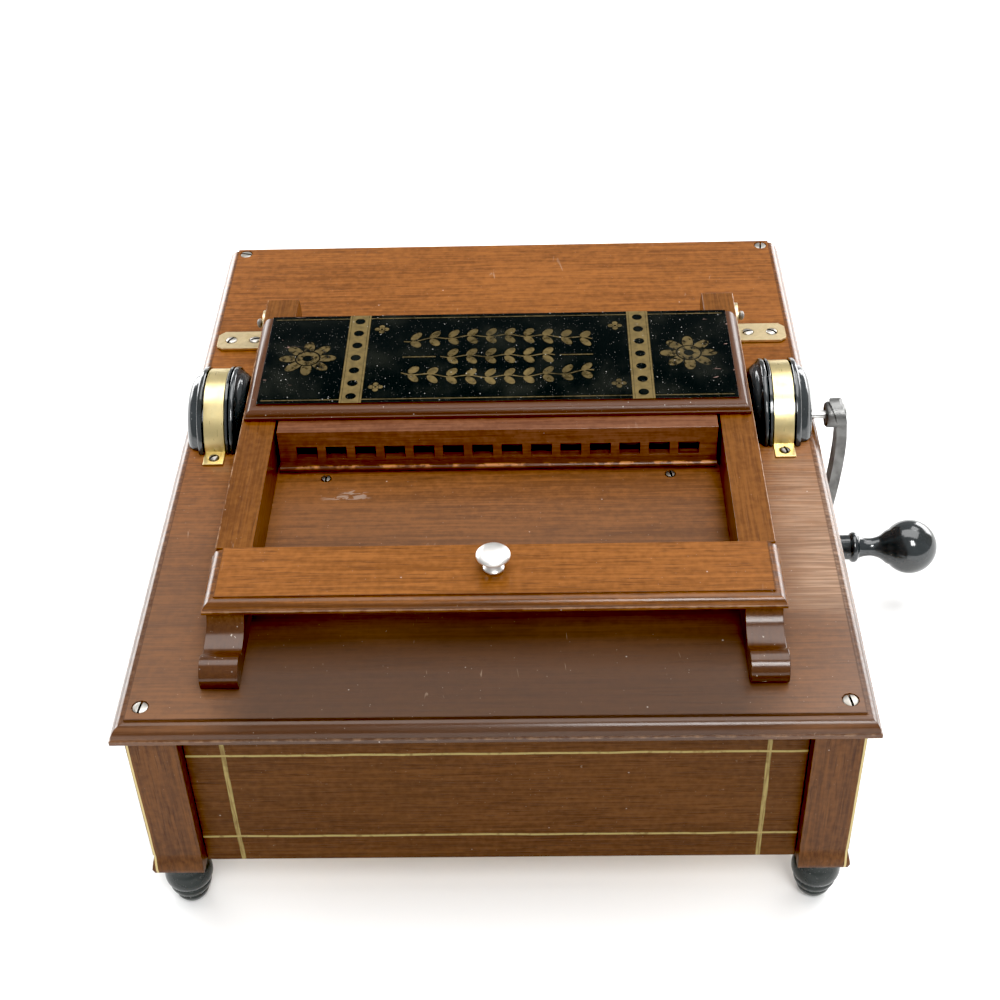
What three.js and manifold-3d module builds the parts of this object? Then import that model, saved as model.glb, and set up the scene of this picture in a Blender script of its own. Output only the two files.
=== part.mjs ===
// A hand-cranked paper-roll reed organette: a moulded case on turned feet, a crank shaft let into the
// top under two ebonised bearing caps, a hinged top frame that presses the paper on the tracker bar, and
// the feeder, reservoir and reeds inside. Millimetres, +Z up, X to the right, Y to the back.
import * as THREE from "three";
import { mergeVertices } from "three/addons/utils/BufferGeometryUtils.js";
import Module from "manifold-3d";

const wasm = await Module();
wasm.setup();

// ---- driving dimensions ----
const GAP = 0.3; // between pieces that touch on the real object
const TOP = 125; // height of the top board's upper face
const CURVE_STEPS = 5;

const BOARD = { half: 148, depth: 354, thick: 9, out: 6 };
const POST = { side: 21, face: -1.5, rear: 352.5, outer: 149.5, bottom: 29, flare: 1.4, flareHeight: 12 };
const PANEL = { recess: 6.3, thick: 8 };
const FLOOR_BOARD = { low: 33, thick: 6 };

const SHAFT = { y: 196.6, drop: 2.1, radius: 2, fit: 0.2, left: -140, right: 168.5 };
const CAP = { inner: 119.9, outer: 150.6, radius: 27.8 };
const STRAP = { inner: 130.3, width: 9.6, radius: 26, thick: 0.8, foot: 9, screwIn: 4.4 };
const ECCENTRIC = { inner: 107.5, outer: 115.5, radius: 7.5, throw: 5 };
const PITMAN = { inner: 108.5, outer: 114.5, ring: 10.8, length: 46, halfDepth: 4, eye: 5, pin: 2 };
const ROLLER = { half: 100, radius: 12, groove: 2 };
const CRANK = {
  radius: 87,
  boss: 6.4,
  head: 8,
  bossInner: 158.5,
  bossOuter: 168.7,
  eye: 6,
  thick: 5,
  end: 165,
};
const GRIP = { start: 165.8, pinRadius: 2.2, pinEnd: 200, bore: 2.5 };

const TRACKER = {
  count: 14,
  pitch: 13.7,
  front: 158.5,
  rear: 170.9,
  half: 99.7,
  wide: 9.6,
  holes: [161, 168],
};
const REED_PAN = { half: 104, front: 145, rear: 178, tall: 13, holes: [160, 174] };
const REED_PLATE = { half: 100, front: 154, rear: 176, thick: 1.6 };
const REED = { base: 159, long: 11.2, shorter: 0.24, halfWide: 2.2, cut: 0.45 };
const WIND_BOARD = { half: 134.9, front: 20.1, rear: 330.9, low: 86, thick: 6 };
const WIND_SLOT = { inner: 104, outer: 119 };
const WIND_PORTS = { half: 40, places: [[80, 100], [240, 260]] };
const FEEDER = { hinge: 326, long: 140, half: 118, tilt: 13 };
const RESERVOIR = { hinge: 30, long: 130, half: 118, tilt: 13 };
const BELLOWS = { thick: 6, top: 85.2, cloth: 1.2, clothHalf: 100, clothStart: 6, clothShort: 14 };

const CHEEK = { inner: 103.4, outer: 119.2, tall: 21.4, lift: 0.35, seat: 15.7, seatEnd: 78.2 };
const PIVOT = { y: 262.5, z: 12, round: 11.65, pin: 1.5, pinStart: 107, boreStart: 106.5 };
const LEAF = { inner: 119.8, outer: 146.8, depth: 15, thick: 1.5, clip: 3, top: 6.5 };
const NAME_BOARD = { half: 112.7, front: 172.2, depth: 72.5, low: 21.7, thick: 5.8, out: 5.5 };
const FRONT_BOARD = { half: 115.7, front: 47.7, depth: 30.2, low: 16, thick: 5.9, out: 5 };
const BLOCK = { half: 102.2, front: 158, thick: 13.5, low: 1, lip: 4.5, lipTall: 2.8 };
const BLOCK_HOLE = { low: 5.6, tall: 7, back: 10, throat: 4 };

const CORNER_SCREWS = [
  ["front_left", -142.4, 7],
  ["front_right", 142.4, 7],
  ["rear_left", -143.5, 349.5],
  ["rear_right", 143.5, 349.5],
];
const PAN_SCREW = { x: 80.3, y: 150.3 };
const LEAF_SCREWS = [
  ["outer", 139.8],
  ["inner", 127.6],
];
const STRAP_SCREW_HEAD = 2.4;
const LEAF_SCREW_HEAD = 2.9;
const SIDES = [
  ["left", -1],
  ["right", 1],
];

// ---- finishes ----
const finish = (color, roughness, metalness = 0) =>
  new THREE.MeshStandardMaterial({ color, roughness, metalness });
const mahogany = finish(0x6a3a22, 0.45);
const redwood = finish(0x8a4a2a, 0.5);
const plainWood = finish(0xb08a5a, 0.7);
const lacquer = finish(0x0c0f10, 0.2);
const brass = finish(0xb79a52, 0.35, 1);
const steel = finish(0xc4c4c2, 0.3, 1);
const nickel = finish(0xd8d8d6, 0.15, 1);
const castIron = finish(0x4a4a4c, 0.5, 1);
const cloth = finish(0x2f2a2a, 0.9);

// ---- solids from three.js geometry ----
function solid(geometry) {
  const bare = geometry.index ? geometry.toNonIndexed() : geometry.clone();
  bare.deleteAttribute("normal");
  bare.deleteAttribute("uv");
  const merged = mergeVertices(bare, 1e-4);
  const corners = [];
  for (let i = 0; i < merged.index.count; i += 3) {
    const [a, b, c] = merged.index.array.slice(i, i + 3);
    if (a !== b && b !== c && c !== a) corners.push(a, b, c);
  }
  const vertProperties = merged.attributes.position.array;
  const triVerts = new Uint32Array(corners);
  return new wasm.Manifold(new wasm.Mesh({ numProp: 3, vertProperties, triVerts }));
}

function geometryOf(body) {
  const mesh = body.getMesh();
  const geometry = new THREE.BufferGeometry();
  geometry.setAttribute("position", new THREE.BufferAttribute(mesh.vertProperties, mesh.numProp));
  geometry.setIndex(new THREE.BufferAttribute(mesh.triVerts, 1));
  geometry.computeVertexNormals();
  return geometry;
}

function piece(group, name, body, material) {
  const mesh = new THREE.Mesh(geometryOf(body), material);
  mesh.name = name;
  group.add(mesh);
  return mesh;
}

function box([x0, x1], [y0, y1], [z0, z1]) {
  const geometry = new THREE.BoxGeometry(x1 - x0, y1 - y0, z1 - z0);
  return solid(geometry.translate((x0 + x1) / 2, (y0 + y1) / 2, (z0 + z1) / 2));
}

// The same box on the left or the right: side is -1 or 1, and near and far are distances from the middle.
function sideBox(side, [near, far], ys, zs) {
  return box([Math.min(side * near, side * far), Math.max(side * near, side * far)], ys, zs);
}

function outline(points) {
  return new THREE.Shape(points.map(([u, v]) => new THREE.Vector2(u, v)));
}

function extruded(shape, length, curveSegments) {
  return new THREE.ExtrudeGeometry(shape, { depth: length, bevelEnabled: false, curveSegments });
}

// A shape drawn in Y and Z, run along X from x0 to x1.
function alongX(shape, x0, x1, curveSegments = 12) {
  const turn = new THREE.Matrix4().makeBasis(
    new THREE.Vector3(0, 1, 0),
    new THREE.Vector3(0, 0, 1),
    new THREE.Vector3(1, 0, 0),
  );
  return solid(extruded(shape, x1 - x0, curveSegments).applyMatrix4(turn).translate(x0, 0, 0));
}

// A shape drawn in X and Z, run along Y from y0 to y1.
function alongY(shape, y0, y1, curveSegments = 12) {
  return solid(extruded(shape, y1 - y0, curveSegments).rotateX(Math.PI / 2).translate(0, y1, 0));
}

// A shape drawn in X and Y, run up from z0 to z1.
function upwards(shape, z0, z1, curveSegments = 12) {
  return solid(extruded(shape, z1 - z0, curveSegments).translate(0, 0, z0));
}

// A turned piece: [radius, height] points from the lowest to the highest, starting and ending on the axis.
function turned(points, segments = 24) {
  const profile = points.map(([r, h]) => new THREE.Vector2(r, h));
  return solid(new THREE.LatheGeometry(profile, segments).rotateX(Math.PI / 2));
}

// The same, turned about X, with heights as places along X.
function turnedAboutX(points, segments = 24) {
  const profile = points.map(([r, x]) => new THREE.Vector2(r, x));
  return solid(new THREE.LatheGeometry(profile, segments).rotateZ(-Math.PI / 2).rotateX(Math.PI));
}

function rod(radius, x0, x1, segments = 16) {
  return turnedAboutX(
    [
      [0, x0],
      [radius, x0],
      [radius, x1],
      [0, x1],
    ],
    segments,
  );
}

function mirroredX(points, side) {
  return side > 0 ? points : points.map(([r, x]) => [r, -x]).reverse();
}

// ---- mouldings ----
// From the flat's edge outwards and down: a quirk, an ovolo and a fillet, as [out, down] points.
function edgeProfile(out, tall) {
  const points = [
    [0, 0],
    [0, -0.14 * tall],
  ];
  for (let i = 0; i <= CURVE_STEPS; i += 1) {
    const angle = (i / CURVE_STEPS) * (Math.PI / 2);
    const reach = (0.08 + 0.8 * Math.sin(angle)) * out;
    points.push([reach, (-0.7 + 0.58 * Math.cos(angle)) * tall]);
  }
  points.push([out, -0.74 * tall], [out, -0.96 * tall], [0.94 * out, -tall]);
  return points;
}

// A board with that moulding mitred round its front and both ends; its back edge is plain. Its flat's
// front edge is at y = 0, and its upper face at z = 0.
function mouldedBoard({ half, depth, thick, out }) {
  const edge = edgeProfile(out, thick);
  const front = edge.map(([o, z]) => [-o, z]);
  const sideView = outline([[depth, 0], ...front, [depth, -thick]]);
  const left = edge.map(([o, z]) => [-half - o, z]).reverse();
  const right = edge.map(([o, z]) => [half + o, z]);
  const endView = outline([...left, ...right]);
  const long = alongX(sideView, -half - out, half + out);
  return long.intersect(alongY(endView, -out, depth));
}

// ---- screws ----
const SCREW = { shank: 1.5, sink: 1.6, slot: 0.9, slotDeep: 0.9, sides: 10 };

// A slotted wood screw, head up, its head's rim at z = 0. A round head stands proud of that.
function woodScrew({ radius, dome, long }, slotTurn) {
  const low = -long;
  const head = [
    [0, low],
    [0.4, low],
    [SCREW.shank, low + 3],
    [SCREW.shank, -SCREW.sink],
    [radius, -0.2],
    [radius, 0],
    [0.72 * radius, 0.7 * dome],
    [0, dome],
  ];
  const slot = new THREE.BoxGeometry(2 * radius + 1, SCREW.slot, 4);
  slot.translate(0, 0, dome + 2 - SCREW.slotDeep).rotateZ(slotTurn);
  return turned(head, SCREW.sides).subtract(solid(slot));
}

// The hole that such a screw leaves, open at its top.
function screwHole(x, y, z, radius, long = 8) {
  const low = -long - 1;
  const wall = [
    [0, low],
    [SCREW.shank + GAP, low],
    [SCREW.shank + GAP, -SCREW.sink - GAP],
    [radius + GAP, -0.2 - GAP],
    [radius + GAP, 4],
    [0, 4],
  ];
  return turned(wall, SCREW.sides).translate([x, y, z]);
}

// ---- the case ----
const shaftZ = TOP - SHAFT.drop;
const underBoard = TOP - BOARD.thick - GAP;
const part = new THREE.Group();
const caseGroup = new THREE.Group();
part.add(caseGroup);

const strapScrewY = [
  ["front", SHAFT.y - STRAP.radius - STRAP.screwIn - STRAP.thick],
  ["rear", SHAFT.y + STRAP.radius + STRAP.screwIn + STRAP.thick],
];
const strapMiddle = STRAP.inner + STRAP.width / 2;

// Every screw of the top board: its name, place, head height over the board, radius and dome.
const topScrews = [];
for (const [place, x, y] of CORNER_SCREWS) {
  topScrews.push({ name: `corner_screw_${place}`, x, y, rise: -0.3, radius: 3.3, dome: 0.4, long: 16 });
}
for (const [hand, side] of SIDES) {
  const pan = { x: side * PAN_SCREW.x, y: PAN_SCREW.y, rise: 0.1 };
  topScrews.push({ name: `pan_screw_${hand}`, ...pan, radius: 2.4, dome: 0.6, long: 16 });
  for (const [end, y] of strapScrewY) {
    const foot = { x: side * strapMiddle, y, rise: 2 * GAP + STRAP.thick };
    const head = { radius: STRAP_SCREW_HEAD, dome: 1.1, long: 7.5 };
    topScrews.push({ name: `strap_screw_${hand}_${end}`, ...foot, ...head });
  }
  for (const [end, x] of LEAF_SCREWS) {
    const leaf = { x: side * x, y: PIVOT.y, rise: GAP + LEAF.thick };
    const head = { radius: LEAF_SCREW_HEAD, dome: 0.8, long: 8 };
    topScrews.push({ name: `leaf_screw_${hand}_${end}`, ...leaf, ...head });
  }
}

function makeTopBoard() {
  const through = [-BOARD.thick - 1, 1];
  let board = mouldedBoard(BOARD);
  const around = (reach) => [SHAFT.y - reach, SHAFT.y + reach];
  const cuts = [
    box([-ROLLER.half - 1, ROLLER.half + 1], around(ROLLER.radius + 2), through),
    box([-TRACKER.half - GAP, TRACKER.half + GAP], [TRACKER.front - GAP, TRACKER.rear + GAP], through),
    box([SHAFT.left - 1, SHAFT.right], around(SHAFT.radius + 0.5), [-SHAFT.drop - SHAFT.radius - 0.5, 1]),
  ];
  const ringReach = around(PITMAN.ring + ECCENTRIC.throw + 1.4);
  for (const side of [-1, 1]) {
    cuts.push(sideBox(side, [CHEEK.inner + 0.8, CHEEK.outer - 0.8], ringReach, through));
  }
  for (const cut of cuts) board = board.subtract(cut);
  board = board.translate([0, 0, TOP]);
  for (const s of topScrews) board = board.subtract(screwHole(s.x, s.y, TOP + s.rise, s.radius, s.long));
  return board;
}
piece(caseGroup, "top_board", makeTopBoard(), mahogany);

const innerPost = POST.outer - POST.side;
const panelHeight = [POST.bottom, underBoard];
const betweenPosts = [-innerPost + GAP, innerPost - GAP];
const frontFace = POST.face + PANEL.recess;
const rearFace = POST.rear - PANEL.recess;
const sideFace = POST.outer - PANEL.recess;
const alongSide = [POST.face + POST.side + GAP, POST.rear - POST.side - GAP];
const frontDepth = [frontFace, frontFace + PANEL.thick];
piece(caseGroup, "front_panel", box(betweenPosts, frontDepth, panelHeight), mahogany);
piece(caseGroup, "rear_panel", box(betweenPosts, [rearFace - PANEL.thick, rearFace], panelHeight), mahogany);
for (const [hand, side] of SIDES) {
  const panel = sideBox(side, [sideFace - PANEL.thick, sideFace], alongSide, panelHeight);
  piece(caseGroup, `${hand}_panel`, panel, mahogany);
}

// A square post with a small cove and flare at the bottom of its two outer faces.
function makePost(side, end) {
  const half = POST.side / 2;
  const flank = (reach) => reach * Math.SQRT2;
  const tall = underBoard - POST.bottom;
  const flared = new THREE.LatheGeometry(
    [
      [0, 0],
      [half + 0.5 * POST.flare, 0],
      [half + POST.flare, 0.25 * POST.flareHeight],
      [half + 0.4 * POST.flare, 0.6 * POST.flareHeight],
      [half - 0.3, 0.85 * POST.flareHeight],
      [half, POST.flareHeight],
      [half, tall],
      [0, tall],
    ].map(([reach, z]) => new THREE.Vector2(flank(reach), z)),
    4,
    Math.PI / 4,
  );
  const wide = half + POST.flare + 1;
  const inX = side > 0 ? [-half, wide] : [-wide, half];
  const inY = end > 0 ? [-half, wide] : [-wide, half];
  return solid(flared.rotateX(Math.PI / 2)).intersect(box(inX, inY, [-1, tall + 1]));
}

// A turned foot: two bulges under a collar, on a small pad.
function makeFoot() {
  const tall = POST.bottom - GAP;
  const profile = [
    [0, 0],
    [4.6, 0],
    [6.2, 1.6],
  ];
  const bulge = (middle, reach, waist, low, high) => {
    for (let i = 1; i < CURVE_STEPS; i += 1) {
      const angle = (i / CURVE_STEPS) * Math.PI;
      const z = middle - Math.cos(angle) * (high - low) / 2;
      profile.push([waist + (reach - waist) * Math.sin(angle), z]);
    }
  };
  bulge(6.6, 8.4, 6.2, 1.6, 11.6);
  profile.push([6.6, 12.2]);
  bulge(19, 10.6, 8, 12.4, 25.6);
  profile.push([8.2, 26], [9.6, 26.4], [9.6, tall], [0, tall]);
  return turned(profile, 18);
}

for (const [fore, end] of [["front", -1], ["rear", 1]]) {
  for (const [hand, side] of SIDES) {
    const x = side * (POST.outer - POST.side / 2);
    const y = end < 0 ? POST.face + POST.side / 2 : POST.rear - POST.side / 2;
    const screw = topScrews.find((s) => s.name === `corner_screw_${fore}_${hand}`);
    const rim = TOP + screw.rise - POST.bottom;
    const hole = screwHole(screw.x - x, screw.y - y, rim, screw.radius, screw.long);
    const post = piece(caseGroup, `${fore}_${hand}_post`, makePost(side, end).subtract(hole), mahogany);
    post.position.set(x, y, POST.bottom);
    piece(caseGroup, `${fore}_${hand}_foot`, makeFoot(), lacquer).position.set(x, y, 0);
  }
}

function makeFloorBoard() {
  const z = [FLOOR_BOARD.low, FLOOR_BOARD.low + FLOOR_BOARD.thick];
  const reach = sideFace - PANEL.thick - GAP;
  const front = frontFace + PANEL.thick + GAP;
  const rear = rearFace - PANEL.thick - GAP;
  let board = box([-reach, reach], [front, rear], z);
  for (const side of [-1, 1]) {
    const corner = [innerPost - GAP, reach + 1];
    const tall = [z[0] - 1, z[1] + 1];
    board = board.subtract(sideBox(side, corner, [front - 1, alongSide[0]], tall));
    board = board.subtract(sideBox(side, corner, [alongSide[1], rear + 1], tall));
  }
  return board;
}
piece(caseGroup, "bottom_board", makeFloorBoard(), plainWood);

for (const s of topScrews) {
  const turn = (s.x * 3.1 + s.y * 1.7) % Math.PI;
  const screw = piece(caseGroup, s.name, woodScrew(s, turn), steel);
  screw.position.set(s.x, s.y, TOP + s.rise);
}

// ---- bearing caps and the brass straps over them, and the hinge brackets and pins of the top frame ----
function makeStrap(side) {
  const { radius, thick, foot } = STRAP;
  const outer = radius + thick;
  const footLow = GAP;
  const footTop = GAP + thick;
  const angleAt = (r, z) => Math.asin((z + SHAFT.drop) / r);
  const shape = new THREE.Shape();
  const tip = outer + foot;
  shape.moveTo(-tip, footTop);
  shape.lineTo(-outer * Math.cos(angleAt(outer, footTop)), footTop);
  shape.absarc(0, -SHAFT.drop, outer, Math.PI - angleAt(outer, footTop), angleAt(outer, footTop), true);
  shape.lineTo(tip, footTop);
  shape.lineTo(tip, footLow);
  shape.lineTo(radius * Math.cos(angleAt(radius, footLow)), footLow);
  shape.absarc(0, -SHAFT.drop, radius, angleAt(radius, footLow), Math.PI - angleAt(radius, footLow), false);
  shape.lineTo(-tip, footLow);
  const [x0, x1] = [side * STRAP.inner, side * (STRAP.inner + STRAP.width)].sort((a, b) => a - b);
  let strap = alongX(shape, x0, x1, 14).translate([0, SHAFT.y, TOP]);
  for (const [, y] of strapScrewY) {
    strap = strap.subtract(screwHole(side * strapMiddle, y, TOP + 2 * GAP + thick, STRAP_SCREW_HEAD));
  }
  return strap;
}

// A bearing cap: half of a turned drum, flat on the board over the shaft, with a bevel and bead towards
// the middle, the strap's groove, a flange and a low dome.
function makeBearingCap(side) {
  const { inner, outer, radius } = CAP;
  const grooveIn = STRAP.inner - 0.4;
  const grooveOut = STRAP.inner + STRAP.width + 0.5;
  const profile = [
    [0, inner],
    [19.5, inner],
    [22.5, inner + 1],
    [24.6, inner + 3.6],
    [26.6, inner + 6],
    [27.4, inner + 7],
    [radius, inner + 8],
    [radius, grooveIn - 0.5],
    [STRAP.radius - 0.4, grooveIn],
    [STRAP.radius - 0.4, grooveOut],
    [radius, grooveOut + 0.4],
    [radius, grooveOut + 2],
    [27.2, grooveOut + 2.7],
    [24.4, grooveOut + 3],
    [24.2, grooveOut + 4.6],
    [22.9, grooveOut + 7],
    [19, grooveOut + 8.9],
    [10, outer - 0.3],
    [0, outer],
  ];
  const drum = turnedAboutX(mirroredX(profile, side), 36);
  const reach = radius + 1;
  const below = sideBox(side, [inner - 1, outer + 1], [-reach, reach], [-reach, SHAFT.drop + GAP]);
  return drum.subtract(below).translate([0, SHAFT.y, shaftZ]);
}

function makeBracket(side) {
  const { inner, outer, depth, thick, clip, top } = LEAF;
  const half = depth / 2;
  const plate = outline([
    [side * inner, -half],
    [side * (outer - clip), -half],
    [side * outer, -half + clip],
    [side * outer, half - clip],
    [side * (outer - clip), half],
    [side * inner, half],
  ]);
  const leaf = upwards(plate, GAP, GAP + thick);
  const ear = new THREE.Shape();
  ear.moveTo(-half, GAP);
  ear.lineTo(half, GAP);
  ear.lineTo(top, PIVOT.z);
  ear.absarc(0, PIVOT.z, top, 0, Math.PI, false);
  const [x0, x1] = [side * inner, side * (inner + thick)].sort((a, b) => a - b);
  const bore = rod(PIVOT.pin + GAP, x0 - 1, x1 + 1, 16).translate([0, 0, PIVOT.z]);
  let bracket = leaf.add(alongX(ear, x0, x1)).subtract(bore);
  bracket = bracket.translate([0, PIVOT.y, TOP]);
  for (const [, x] of LEAF_SCREWS) {
    bracket = bracket.subtract(screwHole(side * x, PIVOT.y, TOP + GAP + thick, LEAF_SCREW_HEAD));
  }
  return bracket;
}

// A headed pin, turned about X, its head outside the bracket's ear.
function makeHingePin(side) {
  const neck = LEAF.inner + LEAF.thick + GAP;
  const profile = [
    [0, PIVOT.pinStart],
    [PIVOT.pin, PIVOT.pinStart],
    [PIVOT.pin, neck],
    [2.3, neck],
    [2.4, neck + 0.8],
    [1.7, neck + 1.2],
    [1.7, neck + 1.9],
    [2.4, neck + 2.3],
    [2.2, neck + 3.2],
    [0, neck + 3.5],
  ];
  return turnedAboutX(mirroredX(profile, side), 16).translate([0, PIVOT.y, TOP + PIVOT.z]);
}

for (const [hand, side] of SIDES) {
  piece(caseGroup, `${hand}_bearing_cap`, makeBearingCap(side), lacquer);
  piece(caseGroup, `${hand}_strap`, makeStrap(side), brass);
  piece(caseGroup, `${hand}_hinge_bracket`, makeBracket(side), brass);
  piece(caseGroup, `${hand}_hinge_pin`, makeHingePin(side), steel);
}

// ---- reeds and wind, inside the case ----
const trackX = Array.from({ length: TRACKER.count }, (_, i) => (i - (TRACKER.count - 1) / 2) * TRACKER.pitch);

function rectangle(x0, x1, y0, y1) {
  return [
    [x0, y0],
    [x1, y0],
    [x1, y1],
    [x0, y1],
  ];
}

// A plate with one opening on each track.
function pierced(half, front, rear, z0, z1, holeFor) {
  let plate = box([-half, half], [front, rear], [z0, z1]);
  for (const x of trackX) plate = plate.subtract(upwards(outline(holeFor(x)), z0 - 1, z1 + 1));
  return plate;
}

const trackHalf = TRACKER.wide / 2;
const panTop = underBoard;
const panLow = panTop - REED_PAN.tall;
const plateTop = panLow - GAP;
const trackHole = ([front, rear]) => (x) => rectangle(x - trackHalf, x + trackHalf, front, rear);
piece(
  caseGroup,
  "tracker_bar",
  pierced(TRACKER.half, TRACKER.front, TRACKER.rear, panTop + GAP, TOP, trackHole(TRACKER.holes)),
  redwood,
);

function makeReedPan() {
  const { half, front, rear, holes } = REED_PAN;
  let pan = pierced(half, front, rear, panLow, panTop, trackHole(holes));
  for (const s of topScrews.filter((screw) => screw.name.startsWith("pan_screw"))) {
    pan = pan.subtract(screwHole(s.x, s.y, TOP + s.rise, s.radius, s.long));
  }
  return pan;
}
piece(caseGroup, "reed_pan", makeReedPan(), plainWood);

// Each reed is a tongue left standing in a thin slot, longer to the left, where the low notes are.
function reedSlot(x) {
  const { base, halfWide, cut } = REED;
  const far = base + REED.long - REED.shorter * (x / TRACKER.pitch);
  return [
    [x - halfWide, base],
    [x - halfWide + cut, base],
    [x - halfWide + cut, far],
    [x + halfWide - cut, far],
    [x + halfWide - cut, base],
    [x + halfWide, base],
    [x + halfWide, far + cut],
    [x - halfWide, far + cut],
  ];
}
const { half: plateHalf, front: plateFront, rear: plateRear, thick: plateThick } = REED_PLATE;
piece(
  caseGroup,
  "reed_plate",
  pierced(plateHalf, plateFront, plateRear, plateTop - plateThick, plateTop, reedSlot),
  brass,
);

function makeWindBoard() {
  const { half, front, rear, low, thick } = WIND_BOARD;
  const through = [low - 1, low + thick + 1];
  const swing = PITMAN.halfDepth + ECCENTRIC.throw + 1.5;
  const across = [WIND_SLOT.inner, WIND_SLOT.outer];
  let board = box([-half, half], [front, rear], [low, low + thick]);
  for (const side of [-1, 1]) {
    board = board.subtract(sideBox(side, across, [SHAFT.y - swing, SHAFT.y + swing], through));
  }
  for (const place of WIND_PORTS.places) {
    board = board.subtract(box([-WIND_PORTS.half, WIND_PORTS.half], place, through));
  }
  return board;
}
piece(caseGroup, "wind_board", makeWindBoard(), plainWood);

// A bellows: a board that hangs from its hinge edge at a tilt, and the cloth walls up to the wind board.
// away is -1 where the board runs towards the front, and 1 where it runs towards the back.
function makeBellows(name, { hinge, long, half, tilt }, away, lugs) {
  const leaning = new THREE.Group();
  leaning.position.set(0, hinge, BELLOWS.top);
  leaning.rotation.x = THREE.MathUtils.degToRad(-away * tilt);
  part.add(leaning);
  const [near, far] = [Math.min(0, away * long), Math.max(0, away * long)];
  let board = box([-half, half], [near, far], [-BELLOWS.thick, 0]);
  for (const lug of lugs) board = board.add(lug);
  piece(leaning, `${name}_board`, board, plainWood);

  const { clothHalf, clothStart, clothShort, cloth: wall } = BELLOWS;
  const [y0, y1] = [hinge + away * clothStart, hinge + away * (long - clothShort)].sort((a, b) => a - b);
  const deep = [BELLOWS.top - long, WIND_BOARD.low - GAP];
  const outer = box([-clothHalf, clothHalf], [y0, y1], deep);
  const inside = [-clothHalf + wall, clothHalf - wall];
  const hollow = box(inside, [y0 + wall, y1 - wall], [deep[0] - 1, deep[1] + 1]);
  const under = new THREE.BoxGeometry(2 * half, 4 * long, 2 * long).translate(0, 0, GAP - long);
  under.rotateX(leaning.rotation.x).translate(0, hinge, BELLOWS.top);
  piece(part, `${name}_cloth`, outer.subtract(hollow).subtract(solid(under)), cloth);
  return leaning;
}

// Upright lugs either side of each connecting rod's lower eye, on the feeder board.
function feederLugs() {
  const tilt = THREE.MathUtils.degToRad(FEEDER.tilt);
  const reach = (SHAFT.y - FEEDER.hinge) / Math.cos(tilt);
  const sides = [
    [PITMAN.inner - 2.2, PITMAN.inner - 0.7],
    [PITMAN.outer + 0.7, PITMAN.outer + 2.2],
  ];
  return [-1, 1].flatMap((side) => sides.map((xs) => sideBox(side, xs, [reach - 9, reach + 1], [-1, 18])));
}
makeBellows("feeder", FEEDER, -1, feederLugs());
makeBellows("reservoir", RESERVOIR, 1, []);

// A hairpin spring inside the reservoir: it keeps the board open against the suction.
function makeReservoirSpring() {
  const tilt = Math.tan(THREE.MathUtils.degToRad(RESERVOIR.tilt));
  const boardAt = (y) => BELLOWS.top - tilt * (y - RESERVOIR.hinge) + 2.2;
  const roof = WIND_BOARD.low - 1.8;
  const path = new THREE.CatmullRomCurve3(
    [
      [135, roof],
      [112, roof - 0.8],
      [90, roof - 2.4],
      [83, roof - 4.8],
      [89, roof - 7],
      [112, boardAt(112) + 3],
      [135, boardAt(135)],
    ].map(([y, z]) => new THREE.Vector3(60, y, z)),
  );
  const round = new THREE.Shape().absarc(0, 0, 1.1, 0, 2 * Math.PI, false);
  return solid(new THREE.ExtrudeGeometry(round, { steps: 16, curveSegments: 3, extrudePath: path }));
}
piece(part, "reservoir_spring", makeReservoirSpring(), steel);

// ---- the crank shaft and what turns with it; this group's origin is on the shaft's axis ----
const crankGroup = new THREE.Group();
crankGroup.position.set(0, SHAFT.y, shaftZ);
part.add(crankGroup);
const shaftBore = SHAFT.radius + SHAFT.fit;

piece(crankGroup, "crank_shaft", rod(SHAFT.radius, SHAFT.left, SHAFT.right), steel);

// An eccentric sheave on the shaft, its thick side down at rest.
function makeEccentric(side) {
  const [x0, x1] = [side * ECCENTRIC.inner, side * ECCENTRIC.outer].sort((a, b) => a - b);
  const sheave = rod(ECCENTRIC.radius, x0, x1, 32).translate([0, 0, -ECCENTRIC.throw]);
  return sheave.subtract(rod(shaftBore, x0 - 1, x1 + 1));
}

// A connecting rod: a ring round the eccentric, a bar down to the feeder, and an eye.
function makePitman(side) {
  const centre = -ECCENTRIC.throw;
  const [x0, x1] = [side * PITMAN.inner, side * PITMAN.outer].sort((a, b) => a - b);
  const foot = centre - PITMAN.length;
  const ring = rod(PITMAN.ring, x0, x1, 32).translate([0, 0, centre]);
  const bar = box([x0, x1], [-PITMAN.halfDepth, PITMAN.halfDepth], [foot, centre]);
  const eye = rod(PITMAN.eye, x0, x1, 20).translate([0, 0, foot]);
  const bore = rod(ECCENTRIC.radius + GAP, x0 - 1, x1 + 1, 32).translate([0, 0, centre]);
  const pin = rod(PITMAN.pin, x0 - 1, x1 + 1, 12).translate([0, 0, foot]);
  return ring.add(bar).add(eye).subtract(bore).subtract(pin);
}

for (const [hand, side] of SIDES) {
  piece(crankGroup, `${hand}_eccentric`, makeEccentric(side), castIron);
  piece(crankGroup, `${hand}_connecting_rod`, makePitman(side), plainWood);
}

// The paper is wound on this roller, with its end in the long groove.
function makeRoller() {
  const { half, radius, groove } = ROLLER;
  const slot = box([-half + 6, half - 6], [-groove / 2, groove / 2], [radius - groove, radius + 1]);
  return rod(radius, -half, half, 40).subtract(rod(shaftBore, -half - 1, half + 1)).subtract(slot);
}
piece(crankGroup, "take_up_roller", makeRoller(), plainWood);

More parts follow.
